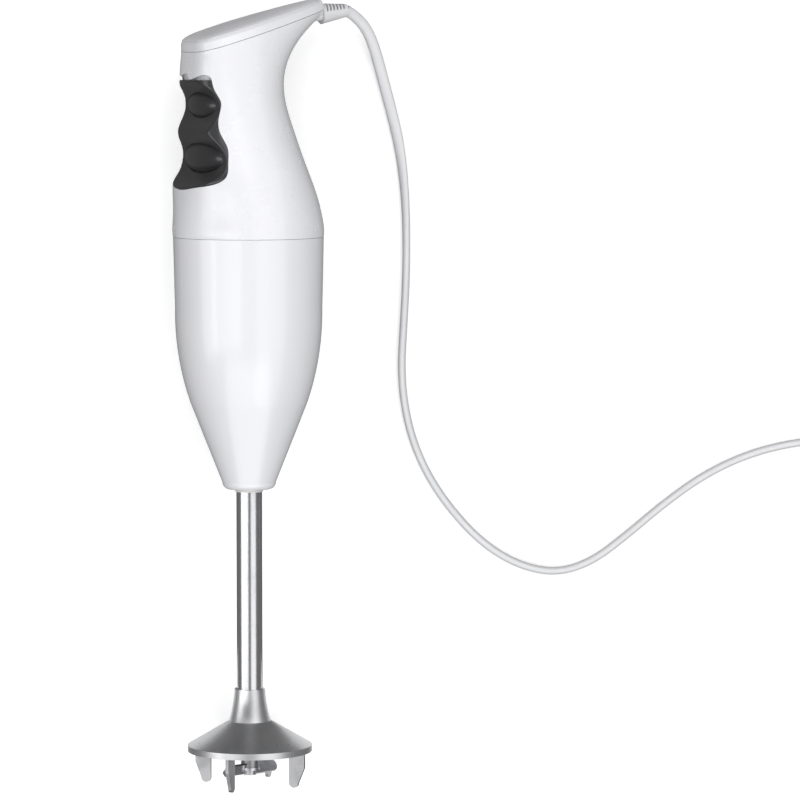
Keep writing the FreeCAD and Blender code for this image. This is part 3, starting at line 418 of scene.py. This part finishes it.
plug = form_of_rings(
    "plug_grip", [(x, PLUG_WIDE * wide, PLUG_THICK * thick) for x, wide, thick in PLUG_SHAPE], 0.4
)
edit(plug)
pick(plug, "FACE", lambda face: abs(face.normal.x) > 0.9)
bpy.ops.mesh.inset(thickness=0.0006)
leave_edit()
modified(plug, "BEVEL", width=0.0008, segments=3, limit_method="ANGLE", angle_limit=0.9)
finished(plug, PLUG_PLACE)

# %% Model the plug's grip ribs
RIB_PLACES = (-0.0130, -0.0105, -0.0080)
RIB_SIZE = (0.0012, 0.0180, 0.0005)
ribs = []
for x in RIB_PLACES:
    for side in (1, -1):
        bpy.ops.object.select_all(action="DESELECT")
        bpy.ops.mesh.primitive_cube_add(size=1.0, location=(x, 0, side * PLUG_THICK / 2))
        rib = bpy.context.object
        rib.scale = RIB_SIZE
        bpy.ops.object.transform_apply(scale=True)
        modified(rib, "BEVEL", width=0.00022, segments=3)
        ribs.append(rib)
bpy.ops.object.select_all(action="DESELECT")
for rib in ribs:
    rib.select_set(True)
bpy.context.view_layer.objects.active = ribs[0]
bpy.ops.object.join()
plug_ribs = ribs[0]
plug_ribs.name = "plug_ribs"
finished(plug_ribs, PLUG_PLACE)

# %% [markdown]
# ## The tool's own frame
#
# Sizes on the handle are easiest to give as if the tool stood upright, with its buttons in
# front: x forwards, y to the side and z up the shaft. One matrix turns that frame on its
# side, front up and to the left, and sets it down where the CAD model lies.

# %% The tool's own frame
TOOL_TURN = math.radians(64.0)
TOOL_PLACE = Vector((-0.005268, -0.172037, 0.027062))
tool_axes = Matrix((
    (-math.sin(TOOL_TURN), math.cos(TOOL_TURN), 0.0),
    (0.0, 0.0, 1.0),
    (math.cos(TOOL_TURN), math.sin(TOOL_TURN), 0.0),
)).to_4x4()
tool_frame = (
    Matrix.Translation(TOOL_PLACE) @ Matrix.Rotation(SHAFT_RISE, 4, "X") @ tool_axes
)
tool_up = (tool_frame.to_3x3() @ Vector((0.0, 0.0, 1.0))).normalized()
print("tool frame at:", tuple(TOOL_PLACE))

# %% [markdown]
# ## The grained panel on the top cover
#
# The crown of the cover carries a grained field with a crisp edge. It is a thin plate that
# follows the crown: the faces of the CAD cover that look up along the crown, and lie near
# its top, are copied and given a thickness. The grain itself is in its finish.

# %% Model the panel
COVER_TILT = math.radians(16.7)
tool_front = Vector((-math.sin(TOOL_TURN), 0.0, math.cos(TOOL_TURN)))
cover_up = (shaft_way * math.cos(COVER_TILT) + tool_front * math.sin(COVER_TILT)).normalized()
PANEL_DEPTH = 0.0045
PANEL_FACING = 0.80
PANEL_THICK = 0.00035

bpy.ops.object.select_all(action="DESELECT")
panel = bpy.data.objects.new("cover_grain_panel", nodes["top_cover"].data.copy())
bpy.context.scene.collection.objects.link(panel)
edit(panel)
bpy.ops.mesh.select_all(action="SELECT")
bpy.ops.mesh.remove_doubles(threshold=1e-6)
highest = max(vertex.co.dot(cover_up) for vertex in panel.data.vertices)
removed = pick(
    panel, "FACE",
    lambda face: face.normal.dot(cover_up) < PANEL_FACING
    or face.calc_center_median().dot(cover_up) < highest - PANEL_DEPTH,
)
bpy.ops.mesh.delete(type="FACE")
leave_edit()
modified(panel, "SOLIDIFY", thickness=PANEL_THICK, offset=1.0)
modified(panel, "BEVEL", width=PANEL_THICK * 0.4, segments=2, limit_method="ANGLE")
finished(panel)
print("panel: removed", removed, "faces, left", len(panel.data.polygons))

# %% [markdown]
# ## The soft pad and its buttons
#
# The pad is a moulded rubber skin with two finger hollows, and its ridges are rounded. The
# CAD pad is a lofted form with thin creases. A copy of it is remeshed evenly at a fine
# step and relaxed a little, which softens the creases. The top edge of the CAD pad is
# uneven, so the copy is cut off flat a little below it, and an open ledge shows above.
# Each button is a dome. A ball is flattened to the dome's three sizes, cut off level with
# its seat, and set in the tool's own frame.

# %% Relax the pad
PAD_STEP = 0.00042
PAD_RELAXING = 7
PAD_TOP = 0.3093
bpy.ops.object.select_all(action="DESELECT")
pad = bpy.data.objects.new("soft_pad", nodes["switch_pad"].data.copy())
bpy.context.scene.collection.objects.link(pad)
edit(pad)
bpy.ops.mesh.select_all(action="SELECT")
bpy.ops.mesh.remove_doubles(threshold=1e-6)
leave_edit()
modified(pad, "REMESH", mode="VOXEL", voxel_size=PAD_STEP)
modified(pad, "SMOOTH", factor=0.5, iterations=PAD_RELAXING)
edit(pad)
bpy.ops.mesh.select_all(action="SELECT")
bpy.ops.mesh.bisect(
    plane_co=tool_frame @ Vector((0.0, 0.0, PAD_TOP)), plane_no=tool_up,
    use_fill=True, clear_outer=True,
)
leave_edit()
finished(pad, angle=50.0)

# %% Model the domes
# Each dome has its level along the shaft, then half its width and half its height.
SEAT = 0.0189
DOME_HEIGHT = 0.0066
DOMES = {
    "upper": (0.2988, 0.0154, 0.0066),
    "lower": (0.2760, 0.0204, 0.0076),
}
domes = {}
for name, (level, wide, tall) in DOMES.items():
    bpy.ops.object.select_all(action="DESELECT")
    bpy.ops.mesh.primitive_uv_sphere_add(segments=64, ring_count=32, radius=1.0)
    dome = bpy.context.object
    dome.name = name + "_button_dome"
    dome.scale = (DOME_HEIGHT, wide, tall)
    bpy.ops.object.transform_apply(scale=True)
    edit(dome)
    bpy.ops.mesh.select_all(action="SELECT")
    bpy.ops.mesh.bisect(
        plane_co=(0.0, 0.0, 0.0), plane_no=(1.0, 0.0, 0.0), use_fill=True, clear_inner=True
    )
    leave_edit()
    dome.location = (SEAT, 0.0, level)
    bpy.ops.object.transform_apply(location=True)
    domes[name] = finished(dome, tool_frame, angle=60.0)

# %% [markdown]
# ## What rides on what
#
# A new piece moves with a CAD body. The lead and all that is on it belong to the casing.
# The CAD solids that the new pieces stand for are hidden and kept for collision.

# %% Ride, replace and declare
for piece, hidden, finish in (
    (lead, ("cord", "cord_tail", "cord_coil"), "cord_white"),
    (tie, ("cord_tie",), "nylon_black"),
    (buckle, (), "nylon_black"),
    (plug, ("plug_body",), "plug_white"),
    (plug_ribs, (), "plug_white"),
    (panel, (), "cover_white"),
):
    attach(piece, "casing")
    if hidden:
        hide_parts(*hidden)
    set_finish(piece, finish)
for piece, body, hidden in (
    (pad, "casing", "switch_pad"),
    (domes["upper"], "upper_key", "upper_button"),
    (domes["lower"], "lower_key", "lower_button"),
):
    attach(piece, body)
    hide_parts(hidden)
    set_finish(piece, "soft_grey")

# %% [markdown]
# ## Effects that several finishes share
#
# Moulded plastic, steel and rubber differ in colour but share the way they break up the
# light: a fine skin, broad marks of handling, and lines left by drawing or brushing. Each
# effect is a node group with named inputs and outputs. A group puts out values only, and
# the shader stays in each material.

# %% A helper for node groups
def new_group(name, inputs, outputs):
    """A shader node group with float or vector inputs and float outputs."""
    group = bpy.data.node_groups.new(name, "ShaderNodeTree")
    for label, kind, value in inputs:
        socket = group.interface.new_socket(label, in_out="INPUT", socket_type=kind)
        if value is not None:
            socket.default_value = value
    for label in outputs:
        group.interface.new_socket(label, in_out="OUTPUT", socket_type="NodeSocketFloat")
    return group, group.nodes.new("NodeGroupInput"), group.nodes.new("NodeGroupOutput")


def add(tree, kind, **values):
    """A node with some of its settings or input sockets set by name."""
    node = tree.nodes.new("ShaderNode" + kind)
    for name, value in values.items():
        if hasattr(node, name):
            setattr(node, name, value)
        else:
            node.inputs[name.replace("_", " ")].default_value = value
    return node


# %% The moulded skin
FLOAT = "NodeSocketFloat"
VECTOR = "NodeSocketVector"
skin_group, skin_in, skin_out = new_group(
    "moulded_skin",
    [("Place", VECTOR, None), ("Grain Scale", FLOAT, 1500.0), ("Mark Scale", FLOAT, 30.0)],
    ["Grain", "Marks"],
)
grain = add(skin_group, "TexNoise", Detail=4.0, Roughness=0.6)
pits = add(skin_group, "TexVoronoi")
marks = add(skin_group, "TexNoise", Detail=6.0, Roughness=0.62)
blend_grain = add(skin_group, "Math", operation="MULTIPLY_ADD")
blend_grain.inputs[1].default_value = 0.35
for source, target in (
    (skin_in.outputs["Place"], grain.inputs["Vector"]),
    (skin_in.outputs["Grain Scale"], grain.inputs["Scale"]),
    (skin_in.outputs["Place"], pits.inputs["Vector"]),
    (skin_in.outputs["Grain Scale"], pits.inputs["Scale"]),
    (skin_in.outputs["Place"], marks.inputs["Vector"]),
    (skin_in.outputs["Mark Scale"], marks.inputs["Scale"]),
    (pits.outputs["Distance"], blend_grain.inputs[0]),
    (grain.outputs["Fac"], blend_grain.inputs[2]),
    (blend_grain.outputs["Value"], skin_out.inputs["Grain"]),
    (marks.outputs["Fac"], skin_out.inputs["Marks"]),
):
    skin_group.links.new(source, target)
print("group:", skin_group.name)

# %% The drawn lines of metal
# The place is divided by Stretch before the noise reads it, so that the marks grow long
# in the direction whose stretch is large.
line_group, line_in, line_out = new_group(
    "drawn_lines",
    [("Place", VECTOR, None), ("Stretch", VECTOR, (1.0, 40.0, 1.0)), ("Scale", FLOAT, 3000.0)],
    ["Lines", "Wear"],
)
squeeze = add(line_group, "VectorMath", operation="DIVIDE")
lines = add(line_group, "TexNoise", Detail=5.0, Roughness=0.7)
wear = add(line_group, "TexNoise", Scale=45.0, Detail=8.0, Roughness=0.65)
sharpen = add(line_group, "MapRange")
sharpen.inputs["From Min"].default_value = 0.42
sharpen.inputs["From Max"].default_value = 0.68
for source, target in (
    (line_in.outputs["Place"], squeeze.inputs[0]),
    (line_in.outputs["Stretch"], squeeze.inputs[1]),
    (squeeze.outputs["Vector"], lines.inputs["Vector"]),
    (line_in.outputs["Scale"], lines.inputs["Scale"]),
    (line_in.outputs["Place"], wear.inputs["Vector"]),
    (wear.outputs["Fac"], sharpen.inputs["Value"]),
    (lines.outputs["Fac"], line_out.inputs["Lines"]),
    (sharpen.outputs["Result"], line_out.inputs["Wear"]),
):
    line_group.links.new(source, target)
print("group:", line_group.name)

# %% [markdown]
# ## Finishes
#
# Each finish is a Principled shader whose colour, roughness and bump come from the
# groups. Plastic gets a slow change of colour, marks in its gloss and a very fine skin.
# Metal gets lines along or round the piece and patches of wear. The numbers that differ
# from finish to finish are arguments.


# %% Plastic and rubber
def new_material(name):
    material = bpy.data.materials.new(name)
    material.use_nodes = True
    tree = material.node_tree
    return material, tree, tree.nodes["Principled BSDF"], add(tree, "TexCoord")


def use_group(tree, group, place, **values):
    node = tree.nodes.new("ShaderNodeGroup")
    node.node_tree = group
    tree.links.new(place, node.inputs["Place"])
    for name, value in values.items():
        node.inputs[name.replace("_", " ")].default_value = value
    return node


def between(tree, mask, low, high, start=0.35, stop=0.65):
    """A value that goes from low to high as the mask goes from start to stop."""
    node = add(tree, "MapRange")
    for name, value in (
        ("From Min", start), ("From Max", stop), ("To Min", low), ("To Max", high),
    ):
        node.inputs[name].default_value = value
    tree.links.new(mask, node.inputs["Value"])
    return node.outputs["Result"]


def shades(tree, mask, dark, light):
    """A colour that goes from dark to light with the mask."""
    node = add(tree, "ValToRGB")
    node.color_ramp.elements[0].position = 0.3
    node.color_ramp.elements[1].position = 0.7
    node.color_ramp.elements[0].color = (*dark, 1.0)
    node.color_ramp.elements[1].color = (*light, 1.0)
    tree.links.new(mask, node.inputs["Fac"])
    return node.outputs["Color"]


def bump(tree, height, strength, distance, shader):
    node = add(tree, "Bump")
    node.inputs["Strength"].default_value = strength
    node.inputs["Distance"].default_value = distance
    tree.links.new(height, node.inputs["Height"])
    tree.links.new(node.outputs["Normal"], shader.inputs["Normal"])


def plastic(name, dark, light, gloss, grain_scale=1500.0, depth=0.00002, coat=0.0):
    """A moulded finish; gloss is the lowest and highest roughness."""
    material, tree, shader, where = new_material(name)
    skin = use_group(
        tree, skin_group, where.outputs["Object"], Grain_Scale=grain_scale, Mark_Scale=28.0
    )
    tree.links.new(shades(tree, skin.outputs["Marks"], dark, light), shader.inputs["Base Color"])
    tree.links.new(
        between(tree, skin.outputs["Marks"], *gloss, 0.2, 0.8), shader.inputs["Roughness"]
    )
    bump(tree, skin.outputs["Grain"], 0.5, depth, shader)
    shader.inputs["Coat Weight"].default_value = coat
    shader.inputs["Coat Roughness"].default_value = 0.08
    shader.inputs["IOR"].default_value = 1.5
    return material


# %% Metal
def metal(name, dark, light, gloss, stretch=(1.0, 40.0, 1.0), scale=3000.0, depth=0.000004):
    """A drawn, turned or brushed finish; stretch gives the way that its lines run."""
    material, tree, shader, where = new_material(name)
    drawn = use_group(
        tree, line_group, where.outputs["Object"], Stretch=stretch, Scale=scale
    )
    tree.links.new(shades(tree, drawn.outputs["Wear"], light, dark), shader.inputs["Base Color"])
    mixed = add(tree, "Math", operation="MULTIPLY_ADD")
    mixed.inputs[1].default_value = 0.5
    tree.links.new(drawn.outputs["Wear"], mixed.inputs[0])
    tree.links.new(drawn.outputs["Lines"], mixed.inputs[2])
    tree.links.new(
        between(tree, mixed.outputs["Value"], *gloss, 0.3, 1.1), shader.inputs["Roughness"]
    )
    bump(tree, drawn.outputs["Lines"], 0.35, depth, shader)
    shader.inputs["Metallic"].default_value = 1.0
    return material


def banded(name, dark, light, gloss, direction, scale, metallic, depth):
    """A finish of even bands, as on laminations or wound wire."""
    material, tree, shader, where = new_material(name)
    bands = add(tree, "TexWave", bands_direction=direction, Scale=scale, Distortion=0.4)
    bands.inputs["Detail"].default_value = 2.0
    tree.links.new(where.outputs["Object"], bands.inputs["Vector"])
    tree.links.new(shades(tree, bands.outputs["Fac"], dark, light), shader.inputs["Base Color"])
    tree.links.new(between(tree, bands.outputs["Fac"], *gloss), shader.inputs["Roughness"])
    bump(tree, bands.outputs["Fac"], 0.6, depth, shader)
    shader.inputs["Metallic"].default_value = metallic
    return material


# %% Mix every finish
finishes = {
    "housing_white": plastic(
        "gloss_white_housing", (0.755, 0.755, 0.775), (0.765, 0.765, 0.785), (0.20, 0.23),
        900.0, 0.000012, 0.25,
    ),
    "handle_white": plastic(
        "gloss_white_handle", (0.77, 0.77, 0.79), (0.78, 0.78, 0.80), (0.25, 0.29),
        1100.0, 0.000016, 0.15,
    ),
    "cover_white": plastic(
        "gloss_white_cover", (0.77, 0.77, 0.79), (0.78, 0.78, 0.80), (0.24, 0.28),
        1100.0, 0.00002, 0.1,
    ),
    "soft_grey": plastic(
        "soft_touch_grey", (0.020, 0.020, 0.022), (0.026, 0.026, 0.028), (0.34, 0.40),
        2600.0, 0.00003, 0.5,
    ),
    "steel_polished": metal(
        "polished_steel", (0.60, 0.60, 0.61), (0.66, 0.66, 0.67), (0.20, 0.26),
    ),
    "steel_satin": metal(
        "satin_blade_steel", (0.55, 0.55, 0.57), (0.68, 0.68, 0.70), (0.18, 0.34),
        (1.0, 1.0, 30.0), 2500.0,
    ),
    "steel_plain": metal(
        "turned_steel", (0.42, 0.42, 0.43), (0.56, 0.56, 0.57), (0.25, 0.42),
        (30.0, 1.0, 30.0), 2600.0,
    ),
    "steel_laminated": banded(
        "stacked_laminations", (0.10, 0.10, 0.11), (0.30, 0.30, 0.32), (0.4, 0.55),
        "Y", 1000.0, 0.8, 0.00005,
    ),
    "copper": banded(
        "enamelled_copper", (0.42, 0.17, 0.07), (0.75, 0.38, 0.18), (0.22, 0.35),
        "X", 900.0, 0.85, 0.0001,
    ),
    "bronze": metal(
        "sintered_bronze", (0.42, 0.28, 0.13), (0.60, 0.43, 0.22), (0.35, 0.5),
        (1.0, 1.0, 1.0), 3000.0, 0.00002,
    ),
    "carbon": plastic(
        "pressed_carbon", (0.018, 0.018, 0.018), (0.035, 0.035, 0.035), (0.5, 0.65),
        3500.0, 0.00005,
    ),
    "board_green": plastic(
        "board_lacquer", (0.03, 0.14, 0.06), (0.06, 0.22, 0.10), (0.25, 0.4),
        1800.0, 0.00003,
    ),
    "nylon_black": plastic(
        "black_nylon", (0.022, 0.022, 0.024), (0.04, 0.04, 0.043), (0.4, 0.52),
        2200.0, 0.00004,
    ),
    "nylon_white": plastic(
        "white_nylon", (0.66, 0.66, 0.64), (0.74, 0.74, 0.72), (0.34, 0.46),
        2000.0, 0.00003,
    ),
    "seal_rubber": plastic(
        "seal_rubber", (0.018, 0.018, 0.018), (0.03, 0.03, 0.03), (0.55, 0.7),
        2600.0, 0.00006,
    ),
    "cord_white": plastic(
        "lead_sheath", (0.66, 0.66, 0.67), (0.70, 0.70, 0.71), (0.34, 0.42),
        2400.0, 0.00003,
    ),
    "plug_white": plastic(
        "plug_moulding", (0.74, 0.74, 0.73), (0.80, 0.80, 0.79), (0.3, 0.42),
        1800.0, 0.00004,
    ),
    "pin_nickel": metal(
        "nickel_pins", (0.60, 0.57, 0.52), (0.74, 0.71, 0.66), (0.14, 0.26),
        (20.0, 1.0, 1.0), 2600.0,
    ),
}
print("finishes:", len(finishes))

# %% [markdown]
# ## Dress every piece
#
# Each CAD piece names a material slot in the record. Its object's slots are pointed at
# the new finish, and its mesh isn't touched. The bell, its prongs, the hub and the cover's
# panel get finishes of their own. The bell is spun, so its fine lines run round the shaft:
# a tangent round Y and a high anisotropy draw its reflections out from the middle.

# %% Assign the finishes
def dress(thing, material):
    """Point every material slot of an object at one material."""
    if not thing.material_slots:
        thing.data.materials.append(material)
    for slot in thing.material_slots:
        slot.link = "OBJECT"
        slot.material = material


slot_of = {part["node"]: part["material_slot"] for part in frame["record"]["subparts"]}
for name, thing in nodes.items():
    dress(thing, finishes[slot_of[name]])
bell_steel = metal(
    "spun_bell_steel", (0.62, 0.62, 0.63), (0.68, 0.68, 0.69), (0.27, 0.31),
    (1.0, 1.0, 1.0), 1200.0, 0.0000005,
)
spin_way = add(bell_steel.node_tree, "Tangent", direction_type="RADIAL", axis="Y")
bell_shader = bell_steel.node_tree.nodes["Principled BSDF"]
bell_shader.inputs["Anisotropic"].default_value = 0.8
bell_steel.node_tree.links.new(spin_way.outputs["Tangent"], bell_shader.inputs["Tangent"])
dress(nodes["bell_guard"], bell_steel)
dress(nodes["guard_prongs"], metal(
    "pressed_prong_steel", (0.36, 0.36, 0.37), (0.46, 0.46, 0.47), (0.32, 0.42),
    (1.0, 20.0, 1.0), 2600.0,
))
new_pieces = (lead, tie, buckle, plug, plug_ribs, pad, *domes.values())
for piece in new_pieces:
    dress(piece, finishes[piece["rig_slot"]])
dress(panel, plastic(
    "grained_white", (0.66, 0.66, 0.68), (0.76, 0.76, 0.78), (0.42, 0.52), 900.0, 0.00012,
))
dress(nodes["blade_hub"], metal(
    "satin_hub_grey", (0.26, 0.26, 0.27), (0.34, 0.34, 0.35), (0.30, 0.40),
    (1.0, 20.0, 1.0), 2600.0,
))
print("dressed:", len(nodes), "CAD pieces and", len(new_pieces) + 1, "new ones")

# %% [markdown]
# ## Table and backdrop
#
# The table is a wide pale sheet. It looks white to the camera, but to every other ray its
# colour is a painted reflection: much darker, in place of black cards that are not there.
# That painted dark reflection is what gives polished steel its dark edges on a white table.
# Close round the bell it has two kinds of painted bright zone, which the bell mirrors as
# bright bands: a narrow wedge straight ahead up the shaft, and the open sides. They are
# told apart by the bearing from the bell, in radians from +Y.

# %% Lay the table and its painted reflection
TABLE_SIZE = 8.0
# Painted reflection: the dark colour that every ray but the camera's sees on the table.
PAINTED_REFLECTION_DARK = (0.16, 0.16, 0.16)
# The painted bright tone in that reflection, and the bearings and reach of its zones round the
# bell.
PAINTED_REFLECTION_BRIGHT = (0.95, 0.95, 0.95)
PAINTED_AHEAD_BEARING = 0.24
PAINTED_AHEAD_SOFT = 0.08
PAINTED_SIDE_BEARING = 0.95
PAINTED_SIDE_SOFT = 0.15
PAINTED_BRIGHT_REACH = 0.042
PAINTED_BRIGHT_FADE = 1.3
bell_low, bell_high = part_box("bell_guard")
bell_middle = (bell_low + bell_high) / 2
bpy.ops.object.select_all(action="DESELECT")
bpy.ops.mesh.primitive_plane_add(size=TABLE_SIZE, location=(0.0, 0.0, -0.0002))
table = bpy.context.object
table.name = "pale_table"
table_with_painted_reflections, tree, white, where = new_material("pale_table_painted_reflections")
skin = use_group(tree, skin_group, where.outputs["Object"], Grain_Scale=400.0, Mark_Scale=2.0)
tree.links.new(
    shades(tree, skin.outputs["Marks"], (0.93, 0.93, 0.93), (0.95, 0.95, 0.95)),
    white.inputs["Base Color"],
)
white.inputs["Roughness"].default_value = 0.9
white.inputs["Specular IOR Level"].default_value = 0.0
white.inputs["Emission Color"].default_value = (1.0, 1.0, 1.0, 1.0)
white.inputs["Emission Strength"].default_value = 0.30
# The diffuse shader that steel and gloss mirror; its colour is the painted reflection.
dim = add(tree, "BsdfDiffuse")
place = add(tree, "SeparateXYZ")
tree.links.new(where.outputs["Object"], place.inputs[0])
sideways = add(tree, "Math", operation="ABSOLUTE")
tree.links.new(place.outputs["X"], sideways.inputs[0])
onwards = add(tree, "Math", operation="SUBTRACT")
tree.links.new(place.outputs["Y"], onwards.inputs[0])
onwards.inputs[1].default_value = bell_middle.y
bearing = add(tree, "Math", operation="ARCTAN2")
tree.links.new(sideways.outputs[0], bearing.inputs[0])
tree.links.new(onwards.outputs[0], bearing.inputs[1])
# Two painted bright zones of the reflection: a narrow wedge straight ahead up the shaft, and the
# sides.
gap = between(
    tree, bearing.outputs[0], 1.0, 0.0, PAINTED_AHEAD_BEARING - PAINTED_AHEAD_SOFT, PAINTED_AHEAD_BEARING + PAINTED_AHEAD_SOFT
)
painted_side_zone = between(
    tree, bearing.outputs[0], 0.0, 1.0, PAINTED_SIDE_BEARING - PAINTED_SIDE_SOFT, PAINTED_SIDE_BEARING + PAINTED_SIDE_SOFT
)
bright = add(tree, "Math", operation="MAXIMUM")
tree.links.new(gap, bright.inputs[0])
tree.links.new(painted_side_zone, bright.inputs[1])
reach = add(tree, "VectorMath", operation="DISTANCE")
tree.links.new(where.outputs["Object"], reach.inputs[0])
reach.inputs[1].default_value = (bell_middle.x, bell_middle.y, 0.0)
close = between(tree, reach.outputs["Value"], 1.0, 0.0, PAINTED_BRIGHT_REACH, PAINTED_BRIGHT_REACH * PAINTED_BRIGHT_FADE)
# The painted reflection: bright in those zones near the bell, dark everywhere else.
painted_reflection_mask = add(tree, "Math", operation="MULTIPLY")
tree.links.new(bright.outputs[0], painted_reflection_mask.inputs[0])
tree.links.new(close, painted_reflection_mask.inputs[1])
tree.links.new(shades(tree, painted_reflection_mask.outputs[0], PAINTED_REFLECTION_DARK, PAINTED_REFLECTION_BRIGHT), dim.inputs["Color"])
path = add(tree, "LightPath")
mixer = add(tree, "MixShader")
tree.links.new(path.outputs["Is Camera Ray"], mixer.inputs["Fac"])
tree.links.new(dim.outputs["BSDF"], mixer.inputs[1])
tree.links.new(white.outputs["BSDF"], mixer.inputs[2])
tree.links.new(mixer.outputs["Shader"], tree.nodes["Material Output"].inputs["Surface"])
dress(table, table_with_painted_reflections)
table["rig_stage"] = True

# %% [markdown]
# ## Light
#
# A long, strong soft box hangs along the tool on the right, and a shorter, weaker one on
# the left. Their reflections draw the bright bands on the tube and the housing, and the
# gap between them is the thin dark line down the middle. A small box low on the left
# lights the domes. Two broad boxes past the ends of the tool light everything evenly, and
# a dim grey world fills the rest.

# %% Hang the lights
BOX_DISTANCE = 1.3
END_DISTANCE = 1.25
WORLD_GREY = 0.2


def soft_box(name, angle, across, along, power):
    """A rectangular light over the shaft, angle degrees from straight up."""
    lean = math.radians(angle)
    place = tube_middle + BOX_DISTANCE * Vector((math.sin(lean), 0.0, math.cos(lean)))
    bpy.ops.object.select_all(action="DESELECT")
    bpy.ops.object.light_add(type="AREA", location=place)
    light = bpy.context.object
    light.name = name
    light.data.shape = "RECTANGLE"
    light.data.size = across
    light.data.size_y = along
    light.data.energy = power
    aim(light, tube_middle)
    return light


soft_box("soft_box_low_left", -62.0, 0.6, 0.7, 2.4)
strip = soft_box("strip_left", -33.0, 1.15, 0.42, 2.6)
strip.location.y -= 0.12
soft_box("soft_box_right", 38.0, 1.10, 2.6, 10.0)
for name, shift in (("soft_box_far", END_DISTANCE), ("soft_box_near", -END_DISTANCE)):
    light = soft_box(name, 0.0, 2.6, 1.4, 18.0)
    light.location.y += shift
    aim(light, tube_middle)
world = bpy.data.worlds.new("studio_air")
world.use_nodes = True
world.node_tree.nodes["Background"].inputs["Color"].default_value = (0.95, 0.97, 1.0, 1.0)
world.node_tree.nodes["Background"].inputs["Strength"].default_value = WORLD_GREY
bpy.context.scene.world = world

# %% Give the sizes and finish
bpy.context.view_layer.update()


def plain(value):
    """Vectors and tuples as plain lists of numbers."""
    return [plain(v) if hasattr(v, "__len__") else float(v) for v in value]


{"cad": plain(cad_box), "visual": plain(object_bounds())}
